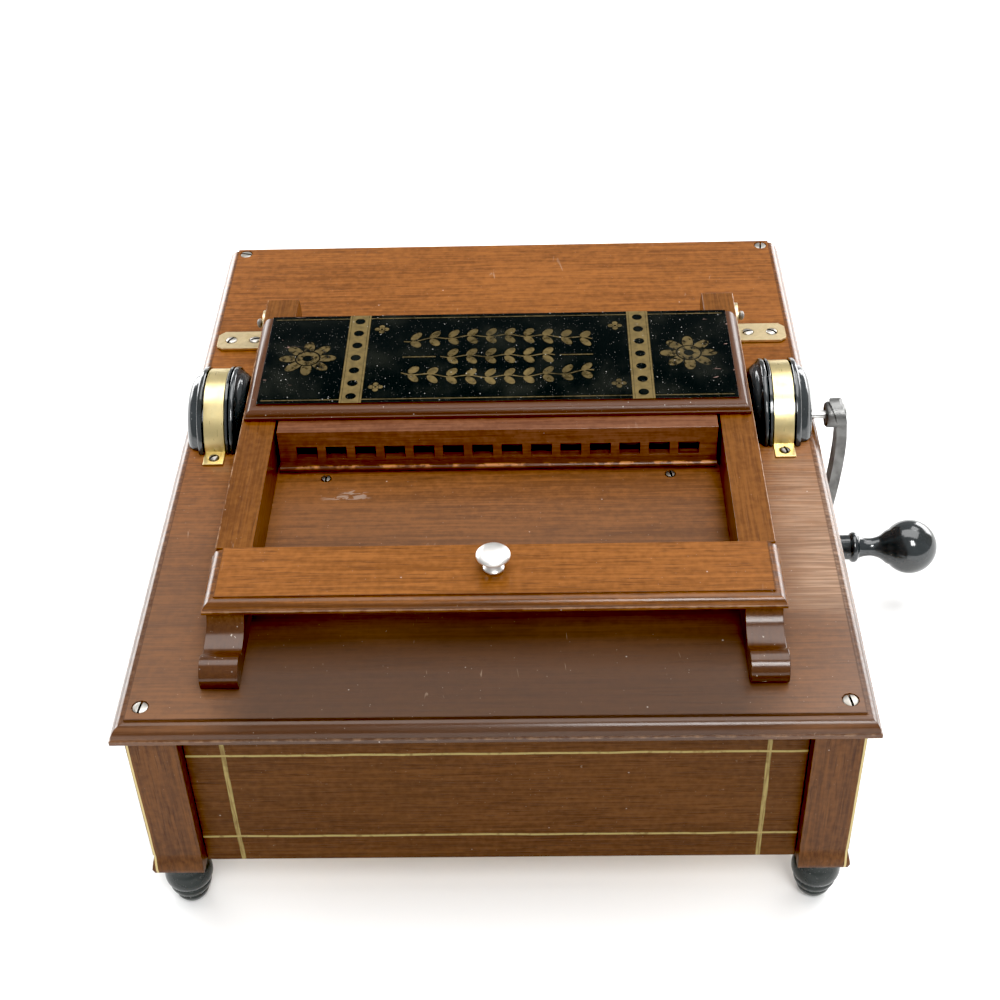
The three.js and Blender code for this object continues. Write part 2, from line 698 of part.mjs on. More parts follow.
// The cast crank: a boss on the shaft, an arm bowed outwards and tapered, and an eye for the grip's pin.
function makeCrankArm() {
  const { radius, boss, head, bossInner, bossOuter, eye, thick } = CRANK;
  const bow = [
    [163.8, 8.8],
    [167.4, 4],
    [169.6, -12],
    [169.5, -30],
    [168.2, -48],
    [166.4, -66],
    [165.2, -80],
    [CRANK.end, -radius - eye - 1],
  ];
  const outer = new THREE.SplineCurve(bow.map(([x, z]) => new THREE.Vector2(x, z))).getPoints(14);
  const inner = outer.map((p) => new THREE.Vector2(p.x - thick, p.y)).reverse();
  const front = alongY(new THREE.Shape([...outer, ...inner]), -head - 1, head + 1);
  const side = new THREE.Shape();
  side.moveTo(-5.2, 0);
  side.lineTo(-3.8, -radius + eye);
  side.lineTo(-eye, -radius);
  side.absarc(0, -radius, eye, Math.PI, 2 * Math.PI, false);
  side.lineTo(3.8, -radius + eye);
  side.lineTo(5.2, 0);
  side.absarc(0, 0, head, 0, Math.PI, false);
  const arm = front.intersect(alongX(side, bossInner, bossOuter + 2));
  const hub = turnedAboutX([
    [0, bossInner],
    [boss - 0.8, bossInner],
    [boss, bossInner + 1],
    [boss, bossOuter - 3.4],
    [boss - 1.6, bossOuter - 0.6],
    [0, bossOuter],
  ]);
  const pinBore = rod(GRIP.pinRadius + SHAFT.fit, bossInner - 2, bossOuter + 2).translate([0, 0, -radius]);
  return arm.add(hub).subtract(rod(shaftBore, bossInner - 1, bossOuter + 3)).subtract(pinBore);
}
piece(crankGroup, "crank_arm", makeCrankArm(), castIron);

// ---- the grip and its pin; this group's origin is on the pin's axis ----
const gripGroup = new THREE.Group();
gripGroup.position.set(0, 0, -CRANK.radius);
crankGroup.add(gripGroup);
const armInner = CRANK.end - CRANK.thick;
const pinProfile = [
  [0, armInner - 1.6],
  [3, armInner - 1.4],
  [3.4, armInner - GAP],
  [GRIP.pinRadius, armInner - GAP],
  [GRIP.pinRadius, GRIP.pinEnd],
  [0, GRIP.pinEnd],
];
piece(gripGroup, "grip_pin", turnedAboutX(pinProfile), steel);

// A turned grip: a barrel, a bead, a cove and neck, and a pear-shaped ball.
function makeGrip() {
  const ball = { x: 210.6, radius: 14 };
  const profile = [
    [0, GRIP.start],
    [6, GRIP.start],
    [6.5, GRIP.start + 1],
    [6.5, 179.6],
    [7.2, 180.2],
    [7.9, 181.6],
    [7.6, 183.2],
    [6.2, 184],
    [5, 187],
    [4.7, 190],
    [5.3, 193.4],
    [7.2, 196.8],
  ];
  const steps = 8;
  for (let i = 0; i <= steps; i += 1) {
    const angle = THREE.MathUtils.degToRad(140 * (1 - i / steps));
    profile.push([Math.max(0, ball.radius * Math.sin(angle)), ball.x + ball.radius * Math.cos(angle)]);
  }
  return turnedAboutX(profile, 24).subtract(rod(GRIP.bore, GRIP.start - 1, GRIP.pinEnd + 1, 12));
}
piece(gripGroup, "crank_grip", makeGrip(), lacquer);

// ---- the hinged top frame; this group's origin is on the top board's upper face ----
const frameGroup = new THREE.Group();
frameGroup.position.set(0, 0, TOP);
part.add(frameGroup);

// A cheek in side view: a scroll foot, a seat for the front board, an arch over the eccentric, and an
// end rounded about the hinge pin.
function cheekOutline() {
  const { tall, lift, seat, seatEnd } = CHEEK;
  const nose = { y: 22.6, z: 3.6, radius: 7.2 };
  const arch = { radius: 17.1, z: -SHAFT.drop };
  const noseStart = Math.PI + Math.asin((nose.z - lift) / nose.radius);
  const crown = Math.asin((tall - PIVOT.z) / PIVOT.round);
  const springing = Math.asin((lift - arch.z) / arch.radius);
  const shape = new THREE.Shape();
  shape.moveTo(nose.y + nose.radius * Math.cos(noseStart), lift);
  shape.absarc(nose.y, nose.z, nose.radius, noseStart, THREE.MathUtils.degToRad(38), true);
  shape.lineTo(29.6, 7.4);
  shape.quadraticCurveTo(42.5, 7.6, 45.4, seat);
  shape.lineTo(seatEnd, seat);
  shape.lineTo(seatEnd, tall);
  shape.lineTo(PIVOT.y + PIVOT.round * Math.cos(crown), tall);
  shape.absarc(PIVOT.y, PIVOT.z, PIVOT.round, crown, -Math.PI / 2, true);
  shape.lineTo(SHAFT.y + arch.radius * Math.cos(springing), lift);
  shape.absarc(SHAFT.y, arch.z, arch.radius, springing, Math.PI - springing, false);
  return shape;
}

for (const [hand, side] of SIDES) {
  const [x0, x1] = [side * CHEEK.inner, side * CHEEK.outer].sort((a, b) => a - b);
  const [b0, b1] = [side * PIVOT.boreStart, side * (CHEEK.outer + 1)].sort((a, b) => a - b);
  const bore = rod(PIVOT.pin + GAP, b0, b1, 16).translate([0, PIVOT.y, PIVOT.z]);
  piece(frameGroup, `${hand}_cheek`, alongX(cheekOutline(), x0, x1, 10).subtract(bore), mahogany);
}

const nameBoard = piece(frameGroup, "name_board", mouldedBoard(NAME_BOARD), lacquer);
nameBoard.position.set(0, NAME_BOARD.front, NAME_BOARD.low + NAME_BOARD.thick);
const frontBoard = piece(frameGroup, "front_board", mouldedBoard(FRONT_BOARD), mahogany);
frontBoard.position.set(0, FRONT_BOARD.front, FRONT_BOARD.low + FRONT_BOARD.thick);

// The block that presses the paper on the tracker bar: an air opening on each track, and a rounded lip.
function makePressureBlock() {
  const { half, front, thick, low, lip, lipTall } = BLOCK;
  const top = NAME_BOARD.low - GAP;
  const back = front + thick;
  const shape = new THREE.Shape();
  shape.moveTo(back, low);
  shape.lineTo(back, top);
  shape.lineTo(front, top);
  shape.lineTo(front, low + lipTall);
  shape.lineTo(front - lip + lipTall / 2, low + lipTall);
  shape.absarc(front - lip + lipTall / 2, low + lipTall / 2, lipTall / 2, Math.PI / 2, 1.5 * Math.PI, false);
  let block = alongX(shape, -half, half, 6);
  const { low: holeLow, tall, back: holeBack, throat } = BLOCK_HOLE;
  for (const x of trackX) {
    const wide = [x - trackHalf, x + trackHalf];
    block = block.subtract(box(wide, [front - 1, front + holeBack], [holeLow, holeLow + tall]));
    block = block.subtract(box(wide, [front + throat, front + holeBack], [low - 1, holeLow + 1]));
  }
  return block;
}
piece(frameGroup, "pressure_block", makePressureBlock(), redwood);

// A nickel pull knob: a flanged foot, a waist and a mushroom head.
const KNOB = { y: 62.6, radius: 7.3 };
const knob = turned(
  [
    [0, 0],
    [4.3, 0],
    [4.4, 1],
    [3.5, 1.7],
    [2.7, 3.2],
    [2.9, 4.6],
    [4.6, 5.8],
    [6.6, 6.5],
    [KNOB.radius, 7.3],
    [KNOB.radius - 0.2, 8],
    [6, 9],
    [3.6, 9.7],
    [0, 10],
  ],
  20,
);
const knobMesh = piece(frameGroup, "pull_knob", knob, nickel);
knobMesh.position.set(0, KNOB.y, FRONT_BOARD.low + FRONT_BOARD.thick + GAP);

// ---- the part's frame: the middle of its box, at the floor ----
const reachRight = 210.6 + 14;
const reachLeft = -(BOARD.half + BOARD.out);
part.position.set(-(reachRight + reachLeft) / 2, -(BOARD.depth - BOARD.out) / 2, 0);

export default part;
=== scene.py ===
"""The looks of a hand-cranked paper-roll organette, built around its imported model.

A moulded mahogany case stands on four turned feet. Two ebonised bearing caps under brass straps
hold the crank shaft down, and a hinged frame with a lacquered name board presses the paper. The
lengths of profiles and marks are in millimetres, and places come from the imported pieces.
"""

from __future__ import annotations

import logging
import math
import random
from collections.abc import Callable, Sequence
from dataclasses import dataclass
from enum import Enum
from typing import ClassVar

import bpy
from mathutils import Matrix, Vector


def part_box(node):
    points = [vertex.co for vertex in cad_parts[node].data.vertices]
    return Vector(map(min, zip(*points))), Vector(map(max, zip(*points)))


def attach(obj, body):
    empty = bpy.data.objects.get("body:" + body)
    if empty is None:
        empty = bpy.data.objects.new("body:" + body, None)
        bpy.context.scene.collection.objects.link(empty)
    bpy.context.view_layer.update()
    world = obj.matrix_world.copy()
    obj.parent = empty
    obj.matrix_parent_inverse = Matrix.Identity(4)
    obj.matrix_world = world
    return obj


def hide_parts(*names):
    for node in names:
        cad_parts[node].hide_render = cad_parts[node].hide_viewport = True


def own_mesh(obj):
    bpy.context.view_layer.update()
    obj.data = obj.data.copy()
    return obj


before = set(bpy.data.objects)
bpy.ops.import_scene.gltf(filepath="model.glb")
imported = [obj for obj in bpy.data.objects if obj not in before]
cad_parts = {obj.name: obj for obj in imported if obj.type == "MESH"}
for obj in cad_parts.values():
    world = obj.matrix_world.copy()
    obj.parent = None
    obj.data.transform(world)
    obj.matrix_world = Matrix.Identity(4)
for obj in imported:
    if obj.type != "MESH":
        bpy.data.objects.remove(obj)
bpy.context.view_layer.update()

MM = 0.001
LOG = logging.getLogger("organette")
MERGE = 1e-6
Colour = tuple[float, float, float]
Point = tuple[float, float]
Point3 = tuple[float, float, float]
EVEN: Point3 = (300, 300, 300)


class Tone:
    """The colours of wear, dust, paint, painted shade, shadow, highlight and sheen, as linear red,
    green and blue.
    """

    PORE: Colour = (0.030, 0.012, 0.006)
    SCUFF: Colour = (0.40, 0.30, 0.22)
    DUST: Colour = (0.62, 0.56, 0.50)
    FINE_DUST: Colour = (0.40, 0.34, 0.28)
    LINT: Colour = (0.62, 0.60, 0.56)
    FINE_LINT: Colour = (0.30, 0.28, 0.25)
    SLOT_SHADE: Colour = (0.012, 0.010, 0.008)
    QUIRK_SHADE: Colour = (0.03, 0.012, 0.006)
    WORN_AND_HIGHLIT_ARRIS: Colour = (0.42, 0.26, 0.15)
    WORN_LIP: Colour = (0.50, 0.21, 0.07)
    LIP: Colour = (0.050, 0.018, 0.007)
    MOULDING: Colour = (0.052, 0.021, 0.009)
    SCROLL: Colour = (0.042, 0.019, 0.011)
    CHIP: Colour = (0.50, 0.44, 0.37)
    SCORED: Colour = (0.42, 0.33, 0.27)
    DARKENED: Colour = (0.092, 0.062, 0.046)
    PAINTED_SHADOW: Colour = (0.046, 0.030, 0.023)
    PAINTED_SHEEN: Colour = (0.42, 0.28, 0.19)
    PANEL_GOLD: Colour = (0.27, 0.215, 0.085)
    POST_GOLD: Colour = (0.52, 0.42, 0.20)
    BOARD_GOLD: Colour = (0.165, 0.118, 0.046)
    LACQUER_SCRATCH: Colour = (0.50, 0.30, 0.25)
    BOARD_EDGE: Colour = (0.075, 0.028, 0.011)
    BOARD_FIGURE: Colour = (0.045, 0.017, 0.008)
    PALE_FLOOR: Colour = (0.92, 0.92, 0.915)
    FLOOR: Colour = (0.90, 0.905, 0.90)


class Axis(Enum):
    """A direction of the model, as an index into a point."""

    X = 0
    Y = 1
    Z = 2

    @property
    def unit(self) -> Vector:
        """The direction as a vector of length one."""
        return Vector([1.0 if i == self.value else 0.0 for i in range(3)])


# ---- shader sheets ----
class Signal:
    """A value in a material, which arithmetic extends with Math nodes."""

    def __init__(self, sheet: Sheet, socket: bpy.types.NodeSocket) -> None:
        """Wraps one output socket of a sheet."""
        self.sheet = sheet
        self.socket = socket

    def math(self, operation: str, *others: Signal | float) -> Signal:
        """Adds a Math node.

        Args:
            operation: The Math node's operation.
            others: The values of its further inputs.

        Returns:
            The node's result.
        """
        inputs = dict(enumerate((self, *others)))
        return self.sheet.node("ShaderNodeMath", {"operation": operation}, inputs)

    def __add__(self, other: Signal | float) -> Signal:
        """The sum."""
        return self.math("ADD", other)

    def __sub__(self, other: Signal | float) -> Signal:
        """The difference."""
        return self.math("SUBTRACT", other)

    def __mul__(self, other: Signal | float) -> Signal:
        """The product."""
        return self.math("MULTIPLY", other)

    def __truediv__(self, other: Signal | float) -> Signal:
        """The quotient."""
        return self.math("DIVIDE", other)

    def __rsub__(self, other: float) -> Signal:
        """A number less this value."""
        return self.sheet.node("ShaderNodeMath", {"operation": "SUBTRACT"}, {0: other, 1: self})

    __radd__ = __add__

    def size(self) -> Signal:
        """The value without its sign."""
        return self.math("ABSOLUTE")

    def step(self, low: float, high: float) -> Signal:
        """A smooth step.

        Args:
            low: Where it is 0; it may be above high, for a falling step.
            high: Where it is 1.

        Returns:
            0 on the low side and 1 on the high side.
        """
        settings = {"interpolation_type": "SMOOTHSTEP"}
        inputs = {"Value": self, "From Min": low, "From Max": high}
        return self.sheet.node("ShaderNodeMapRange", settings, inputs)

    def near(self, middle: float, half: float, soft: float = 0.00012) -> Signal:
        """A band.

        Args:
            middle: The value in the middle of the band.
            half: Half the band's width.
            soft: How far its edges fade.

        Returns:
            1 in the band and 0 outside it.
        """
        return (self - middle).size().step(half + soft, half - soft)


class Sheet:
    """A material's node tree."""

    MIX_MASK, MIX_UNDER, MIX_OVER, MIX_COLOUR = 0, 6, 7, 2

    def __init__(self, name: str) -> None:
        """Starts an empty material."""
        self.material = bpy.data.materials.new(name)
        self.material.use_nodes = True
        self.tree = self.material.node_tree
        self.tree.nodes.clear()
        self.coords = self.node("ShaderNodeTexCoord", output="Object")

    def feed(self, socket: bpy.types.NodeSocket, value: object) -> None:
        """Links a signal to a socket, or sets the socket's own value."""
        if isinstance(value, Signal):
            self.tree.links.new(value.socket, socket)
        elif isinstance(value, tuple) and socket.type == "RGBA":
            socket.default_value = (*value, 1.0)
        else:
            socket.default_value = value

    def node(
        self,
        kind: str,
        settings: dict[str, object] | None = None,
        inputs: dict[str | int, object] | None = None,
        output: str | int = 0,
    ) -> Signal:
        """Adds any node.

        Args:
            kind: The node's type.
            settings: Its own properties, set before its sockets.
            inputs: The values or signals of its sockets.
            output: The output to take.

        Returns:
            That output.
        """
        made = self.tree.nodes.new(kind)
        for key, value in (settings or {}).items():
            setattr(made, key, value)
        for key, value in (inputs or {}).items():
            self.feed(made.inputs[key], value)
        return Signal(self, made.outputs[output])

    def place(self) -> tuple[Signal, Signal, Signal]:
        """The surface point's x, y and z."""
        split = self.node("ShaderNodeSeparateXYZ", inputs={0: self.coords})
        outputs = split.socket.node.outputs
        return Signal(self, outputs[0]), Signal(self, outputs[1]), Signal(self, outputs[2])

    def noise(
        self, scale: Sequence[float], detail: float = 3.0, seed: float = 0.0, warp: float = 0.0
    ) -> Signal:
        """Noise with its own scale on each axis.

        Args:
            scale: How many features to the metre, on x, y and z.
            detail: The noise's octaves.
            seed: Where in the noise the piece is.
            warp: How much the noise distorts itself.

        Returns:
            The noise, about 0.5 on average.
        """
        settings = {"vector_type": "POINT"}
        moved = {0: self.coords, "Location": (seed, 1.7 * seed, 2.3 * seed), "Scale": tuple(scale)}
        vector = self.node("ShaderNodeMapping", settings, moved)
        inputs = {"Vector": vector, "Scale": 1.0, "Detail": detail, "Distortion": warp}
        return self.node("ShaderNodeTexNoise", None, inputs)

    def specks(self, scale: float, reach: float, share: float) -> Signal:
        """Scattered small specks.

        Args:
            scale: Cells to the metre.
            reach: A speck's radius, as a share of its cell.
            share: The share of the cells that hold one, from 0 to 1.

        Returns:
            1 on a speck.
        """
        cells = self.node("ShaderNodeTexVoronoi", None, {"Vector": self.coords, "Scale": scale})
        colours = Signal(self, cells.socket.node.outputs["Color"])
        pick = self.node("ShaderNodeSeparateXYZ", None, {0: colours})
        chosen = pick.step(1 - share - 0.01, 1 - share + 0.01)
        return cells.step(reach, 0.4 * reach) * chosen

    def mix(self, under: object, over: object, mask: Signal | float) -> Signal:
        """One colour over another.

        Args:
            under: The colour where the mask is 0.
            over: The colour where the mask is 1.
            mask: How much of the upper colour shows.

        Returns:
            The mixed colour.
        """
        inputs = {self.MIX_MASK: mask, self.MIX_UNDER: under, self.MIX_OVER: over}
        return self.node("ShaderNodeMix", {"data_type": "RGBA"}, inputs, self.MIX_COLOUR)

    def finish(
        self, looks: dict[str, object], height: Signal | None = None, depth: float = 0.0
    ) -> bpy.types.Material:
        """Adds the shader.

        Args:
            looks: The values or signals of the shader's sockets.
            height: The height that roughens the surface.
            depth: How deep that relief is, in metres.

        Returns:
            The finished material.
        """
        inputs = dict(looks)
        if height is not None:
            relief = {"Height": height, "Distance": depth, "Strength": 1.0}
            inputs["Normal"] = self.node("ShaderNodeBump", None, relief)
        shader = self.node("ShaderNodeBsdfPrincipled", None, inputs)
        out = self.tree.nodes.new("ShaderNodeOutputMaterial")
        self.feed(out.inputs["Surface"], shader)
        return self.material


@dataclass(frozen=True)
class Mark:
    """Paint, wear or dirt over a finish."""

    colour: Colour
    mask: Signal
    roughness: float = 0.5
    metallic: float = 0.0
    coat: float = 0.0


MarksOf = Callable[[Sheet], list[Mark]]


def no_marks(sheet: Sheet) -> list[Mark]:
    """Leaves a finish as it is."""
    return []


@dataclass
class Layers:
    """The looks of a finish while marks go over it."""

    sheet: Sheet
    colour: Signal
    rough: Signal
    metal: Signal | float = 0.0
    coat: Signal | float = 0.0

    def lay(self, marks: Sequence[Mark]) -> None:
        """Puts marks over the finish, the first one lowest.

        Args:
            marks: The marks.
        """
        for mark in marks:
            self.colour = self.sheet.mix(self.colour, mark.colour, mark.mask)
            self.rough = self.rough * (1 - mark.mask) + mark.mask * mark.roughness
            if mark.metallic:
                self.metal = mark.mask * mark.metallic + self.metal
            if mark.coat:
                self.coat = (mark.mask * mark.coat).math("MAXIMUM", self.coat)


@dataclass(frozen=True)
class Wood:
    """Varnished or bare wood, its grain along one axis.

    The pairs are how many features to the metre a pattern has, along the grain and across it.
    """

    FIGURE: ClassVar[Point] = (4, 55)
    CLOUD: ClassVar[Point] = (6, 14)
    FIBRE: ClassVar[Point] = (34, 900)
    STREAK: ClassVar[Point] = (7, 420)
    PORES: ClassVar[Point] = (70, 1700)
    RELIEF: ClassVar[float] = 0.00006

    name: str
    pale: Colour
    deep: Colour
    pore: Colour = Tone.PORE
    grain: Axis = Axis.X
    varnish: float = 0.5
    varnish_roughness: float = 0.17
    roughness: float = 0.45
    seed: float = 0.0
    pore_share: float = 0.5
    dust: float = 0.3
    gloss: float = 0.12
    marks: MarksOf = no_marks

    def stretched(self, along: float, across: float) -> list[float]:
        """Scales for a pattern that is longer along the grain."""
        return [along if i == self.grain.value else across for i in range(3)]

    def build(self) -> bpy.types.Material:
        """Makes the material: growth figure, fibres, pores, dust and the piece's own marks."""
        sheet = Sheet(self.name)
        figure = sheet.noise(self.stretched(*self.FIGURE), 3, self.seed + 1, 0.2)
        cloudy = sheet.noise(self.stretched(*self.CLOUD), 2, self.seed + 2)
        fibre = sheet.noise(self.stretched(*self.FIBRE), 3, self.seed + 3)
        streak = sheet.noise(self.stretched(*self.STREAK), 2, self.seed + 8)
        pores = sheet.noise(self.stretched(*self.PORES), 1, self.seed + 4)
        grime = sheet.noise((330, 330, 330), 4, self.seed + 7)
        pore = pores.step(0.57, 0.72) * self.pore_share
        tone = (figure - 0.5) * 0.7 + (fibre - 0.5) * 1.7 + (cloudy - 0.5) * 0.9
        tone = tone + (grime - 0.5) * 1.3 + 0.5 + (streak - 0.5) * 1.0
        colour = sheet.mix(self.deep, self.pale, tone.step(-0.1, 1.1))
        colour = sheet.mix(colour, self.pore, pore)
        rough = self.roughness + (cloudy - 0.5) * 0.2 + pore * 0.1 + (streak - 0.5) * 0.2
        layers = Layers(sheet, colour, rough, coat=self.varnish)
        scratch = sheet.noise((260, 40, 260), 2, self.seed + 6, 1.4).step(0.715, 0.75)
        scuffs = scratch * cloudy.step(0.5, 0.62)
        layers.lay(self.marks(sheet))
        layers.lay([
            Mark(Tone.SCUFF, scuffs * (0.6 * self.dust), 0.7),
            Mark(Tone.DUST, sheet.specks(150, 0.075, 0.14) * self.dust, 0.8),
            Mark(Tone.FINE_DUST, sheet.specks(520, 0.14, 0.14) * (0.7 * self.dust), 0.8),
        ])
        looks = {
            "Base Color": layers.colour,
            "Roughness": layers.rough,
            "Metallic": layers.metal,
            "Coat Weight": layers.coat,
            "Coat Roughness": self.varnish_roughness,
            "Specular IOR Level": self.gloss,
        }
        return sheet.finish(looks, fibre * 0.5 - pore * 1.2, self.RELIEF)


@dataclass(frozen=True)
class Lacquer:
    """Black lacquer with dust and fine rubbing."""

    name: str
    colour: Colour = (0.004, 0.005, 0.005)
    faded: Colour = (0.009, 0.010, 0.008)
    roughness: float = 0.16
    dust: float = 0.5
    gloss: float = 0.35
    haze: float = 0.12
    marks: MarksOf = no_marks

    def build(self) -> bpy.types.Material:
        """Makes the material."""
        sheet = Sheet(self.name)
        cloudy = sheet.noise((40, 40, 40), 4, 3.0)
        rubbed = sheet.noise((500, 90, 500), 2, 5.0, 0.8)
        colour = sheet.mix(self.colour, self.faded, cloudy.step(0.45, 0.75))
        rough = self.roughness + cloudy.step(0.4, 0.8) * self.haze
        rough = rough + rubbed.step(0.5, 0.8) * (0.5 * self.haze)
        layers = Layers(sheet, colour, rough)
        layers.lay(self.marks(sheet))
        layers.lay([
            Mark(Tone.LINT, sheet.specks(420, 0.13, 0.20) * self.dust, 0.8),
            Mark(Tone.FINE_LINT, sheet.specks(1100, 0.22, 0.25) * (0.5 * self.dust), 0.8),
        ])
        looks = {
            "Base Color": layers.colour,
            "Roughness": layers.rough,
            "Metallic": layers.metal,
            "Specular IOR Level": self.gloss,
        }
        return sheet.finish(looks, rubbed + cloudy * 2, 0.00002)


@dataclass(frozen=True)
class Metal:
    """Bare or plated metal with tarnish, brushing and pits."""

    name: str
    colour: Colour
    tarnish: Colour
    roughness: float
    tarnish_share: float = 0.5
    brushed: Point3 = EVEN
    relief: float = 0.00001
    shaded_slots: bool = False

    def build(self) -> bpy.types.Material:
        """Makes the material."""
        sheet = Sheet(self.name)
        cloudy = sheet.noise((90, 90, 90), 4, 2.0, 0.5)
        fine = sheet.noise(self.brushed, 3, 4.0)
        spots = sheet.specks(900, 0.25, 0.12)
        stain = cloudy.step(0.42, 0.72) * self.tarnish_share
        colour = sheet.mix(self.colour, self.tarnish, stain)
        colour = sheet.mix(colour, self.tarnish, spots * (0.6 * self.tarnish_share))
        rough = self.roughness + stain * 0.25 + (fine - 0.5) * 0.18
        metal: Signal | float = 1.0
        # Where the 'grime' attribute is set, on the faces inside a screw's slot, the metal is
        # painted dark: painted shade in the slot.
        if self.shaded_slots:
            grime = sheet.node("ShaderNodeAttribute", {"attribute_name": "grime"}, output="Fac")
            colour = sheet.mix(colour, Tone.SLOT_SHADE, grime)
            rough = rough * (1 - grime) + grime * 0.8
            metal = 1 - grime
        looks = {"Base Color": colour, "Roughness": rough, "Metallic": metal}
        return sheet.finish(looks, fine + spots * -0.5, self.relief)


@dataclass(frozen=True)
class Cloth:
    """Rubberised bellows cloth, a plain weave, with its threads in radians to the metre."""

    name: str
    threads: float = 9000.0
    colour: Colour = (0.05, 0.045, 0.045)
    thread: Colour = (0.12, 0.11, 0.11)

    def build(self) -> bpy.types.Material:
        """Makes the material."""
        sheet = Sheet(self.name)
        x, y, z = ((place * self.threads).math("SINE") for place in sheet.place())
        weave = x * z + y * 0.5
        worn = sheet.noise((60, 60, 60), 4, 1.0)
        tone = weave.step(-1, 1) * 0.6 + worn * 0.4
        colour = sheet.mix(self.colour, self.thread, tone)
        return sheet.finish({"Base Color": colour, "Roughness": 0.6 + worn * 0.3}, weave, 0.00008)


# ---- the modelling bench ----
class Bench:
    """Makes one piece at a time with Blender's own operators."""

    SMOOTH = math.radians(35)
    FLAT = math.radians(0.4)

    @staticmethod
    def clear() -> None:
        """Leaves edit mode and deselects everything."""
        if bpy.context.object is not None and bpy.context.object.mode != "OBJECT":
            bpy.ops.object.mode_set(mode="OBJECT")
        bpy.ops.object.select_all(action="DESELECT")

    @staticmethod
    def pick(piece: bpy.types.Object) -> None:
        """Selects one piece and nothing else."""
        Bench.clear()
        piece.select_set(True)
        bpy.context.view_layer.objects.active = piece

    @staticmethod
    def closed(piece: bpy.types.Object) -> None:
        """Merges doubles and turns the faces outwards, from edit mode to object mode."""
        bpy.ops.mesh.select_all(action="SELECT")
        bpy.ops.mesh.remove_doubles(threshold=MERGE)
        bpy.ops.mesh.normals_make_consistent(inside=False)
        bpy.ops.object.mode_set(mode="OBJECT")
        bpy.ops.object.shade_smooth_by_angle(angle=Bench.SMOOTH)

    @staticmethod
    def turned(
        name: str,
        profile: Sequence[Point],
        centre: Vector,
        axis: Axis,
        facing: float = 1.0,
        steps: int = 64,
    ) -> bpy.types.Object:
        """Turns a profile about an axis.

        Args:
            name: The piece's name.
            profile: Radius and height of each point, in millimetres, from axis to axis.
            centre: The point on the axis where the height is 0.
            axis: The axis.
            facing: 1 or -1, the way that heights count.
            steps: How many facets the round has.

        Returns:
            The turned piece.
        """
        along = axis.unit * facing
        out = Axis.Y.unit if axis is not Axis.Y else Axis.X.unit
        points = [centre + out * (r * MM) + along * (h * MM) for r, h in profile]
        Bench.clear()
        bpy.ops.mesh.primitive_plane_add(size=MM)
        piece = bpy.context.object
        piece.name = name
        bpy.ops.object.mode_set(mode="EDIT")
        bpy.ops.mesh.select_all(action="SELECT")
        bpy.ops.mesh.merge(type="CENTER")
        bpy.ops.transform.translate(value=points[0])
        for start, end in zip(points, points[1:]):
            bpy.ops.mesh.extrude_region_move(TRANSFORM_OT_translate={"value": end - start})
        bpy.ops.mesh.select_all(action="SELECT")
        bpy.ops.mesh.spin(steps=steps, angle=2 * math.pi, center=centre, axis=along)
        Bench.closed(piece)
        return piece

    @staticmethod
    def eased(node: str, ease: float, segments: int, limit: float = 32.0) -> bpy.types.Object:
        """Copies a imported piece, joins its flat faces and rounds its arrises.

        Args:
            node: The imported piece.
            ease: How far each arris is cut back, in millimetres.
            segments: The facets of each rounded arris.
            limit: The least angle of an edge that is rounded, in degrees.

        Returns:
            The piece that stands for it.
        """
        Bench.clear()
        piece = bpy.data.objects.new(f"{node}_eased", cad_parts[node].data.copy())
        bpy.context.scene.collection.objects.link(piece)
        Bench.pick(piece)
        bpy.ops.object.mode_set(mode="EDIT")
        bpy.ops.mesh.select_all(action="SELECT")
        bpy.ops.mesh.remove_doubles(threshold=10 * MERGE)
        bpy.ops.mesh.dissolve_limited(angle_limit=Bench.FLAT)
        bpy.ops.object.mode_set(mode="OBJECT")
        bevel = piece.modifiers.new("ease", "BEVEL")
        bevel.width = ease * MM
        bevel.segments = segments
        bevel.limit_method = "ANGLE"
        bevel.angle_limit = math.radians(limit)
        bevel.use_clamp_overlap = True
        bpy.ops.object.modifier_apply(modifier=bevel.name)
        bpy.ops.object.shade_smooth_by_angle(angle=Bench.SMOOTH)
        flats = piece.modifiers.new("flats", "WEIGHTED_NORMAL")
        flats.keep_sharp = True
        flats.weight = 100
        bpy.ops.object.modifier_apply(modifier=flats.name)
        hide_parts(node)
        return piece

    @staticmethod
    def copied(piece: bpy.types.Object, name: str, move: Matrix) -> bpy.types.Object:
        """Copies a piece with its own mesh.

        Args:
            piece: The piece to copy.
            name: The copy's name.
            move: How the copy's mesh is moved from the first one's.

        Returns:
            The copy.
        """
        copy = piece.copy()
        copy.data = piece.data.copy()
        copy.name = name
        copy.data.transform(move)
        bpy.context.scene.collection.objects.link(copy)
        return copy


def arc(centre: Point, reach: Point, start: float, end: float, count: int = 10) -> list[Point]:
    """Points on an ellipse's arc.

    Args:
        centre: Its middle, as radius and height.
        reach: Its half-widths.
        start: The first angle, in degrees.
        end: The last one.
        count: How many steps the arc has.

    Returns:
        The points, both ends included.
    """
    angles = [math.radians(start + (end - start) * i / count) for i in range(count + 1)]
    (x, y), (wide, tall) = centre, reach
    return [(x + wide * math.cos(a), y + tall * math.sin(a)) for a in angles]


def eased_between(values: Sequence[float], t: float) -> float:
    """A value on the smooth line through four values.

    Args:
        values: The four values in a row.
        t: How far the wanted value is from the second to the third, from 0 to 1.

    Returns:
        The value.
    """
    p, q, r, s = values
    square, cube = 2 * p - 5 * q + 4 * r - s, 3 * q - p - 3 * r + s
    return 0.5 * (2 * q + (r - p) * t + square * t**2 + cube * t**3)


def flowing(points: Sequence[Point], count: int = 5) -> list[Point]:
    """A smooth line through points.

    Args:
        points: The points it passes.
        count: The steps between each two.

    Returns:
        The finer points.
    """
    ends = [points[0], *points, points[-1]]
    made: list[Point] = []
    for four in zip(ends, ends[1:], ends[2:], ends[3:]):
        radii, heights = zip(*four)
        for i in range(count):
            t = i / count
            made.append((eased_between(radii, t), eased_between(heights, t)))
    return [*made, points[-1]]


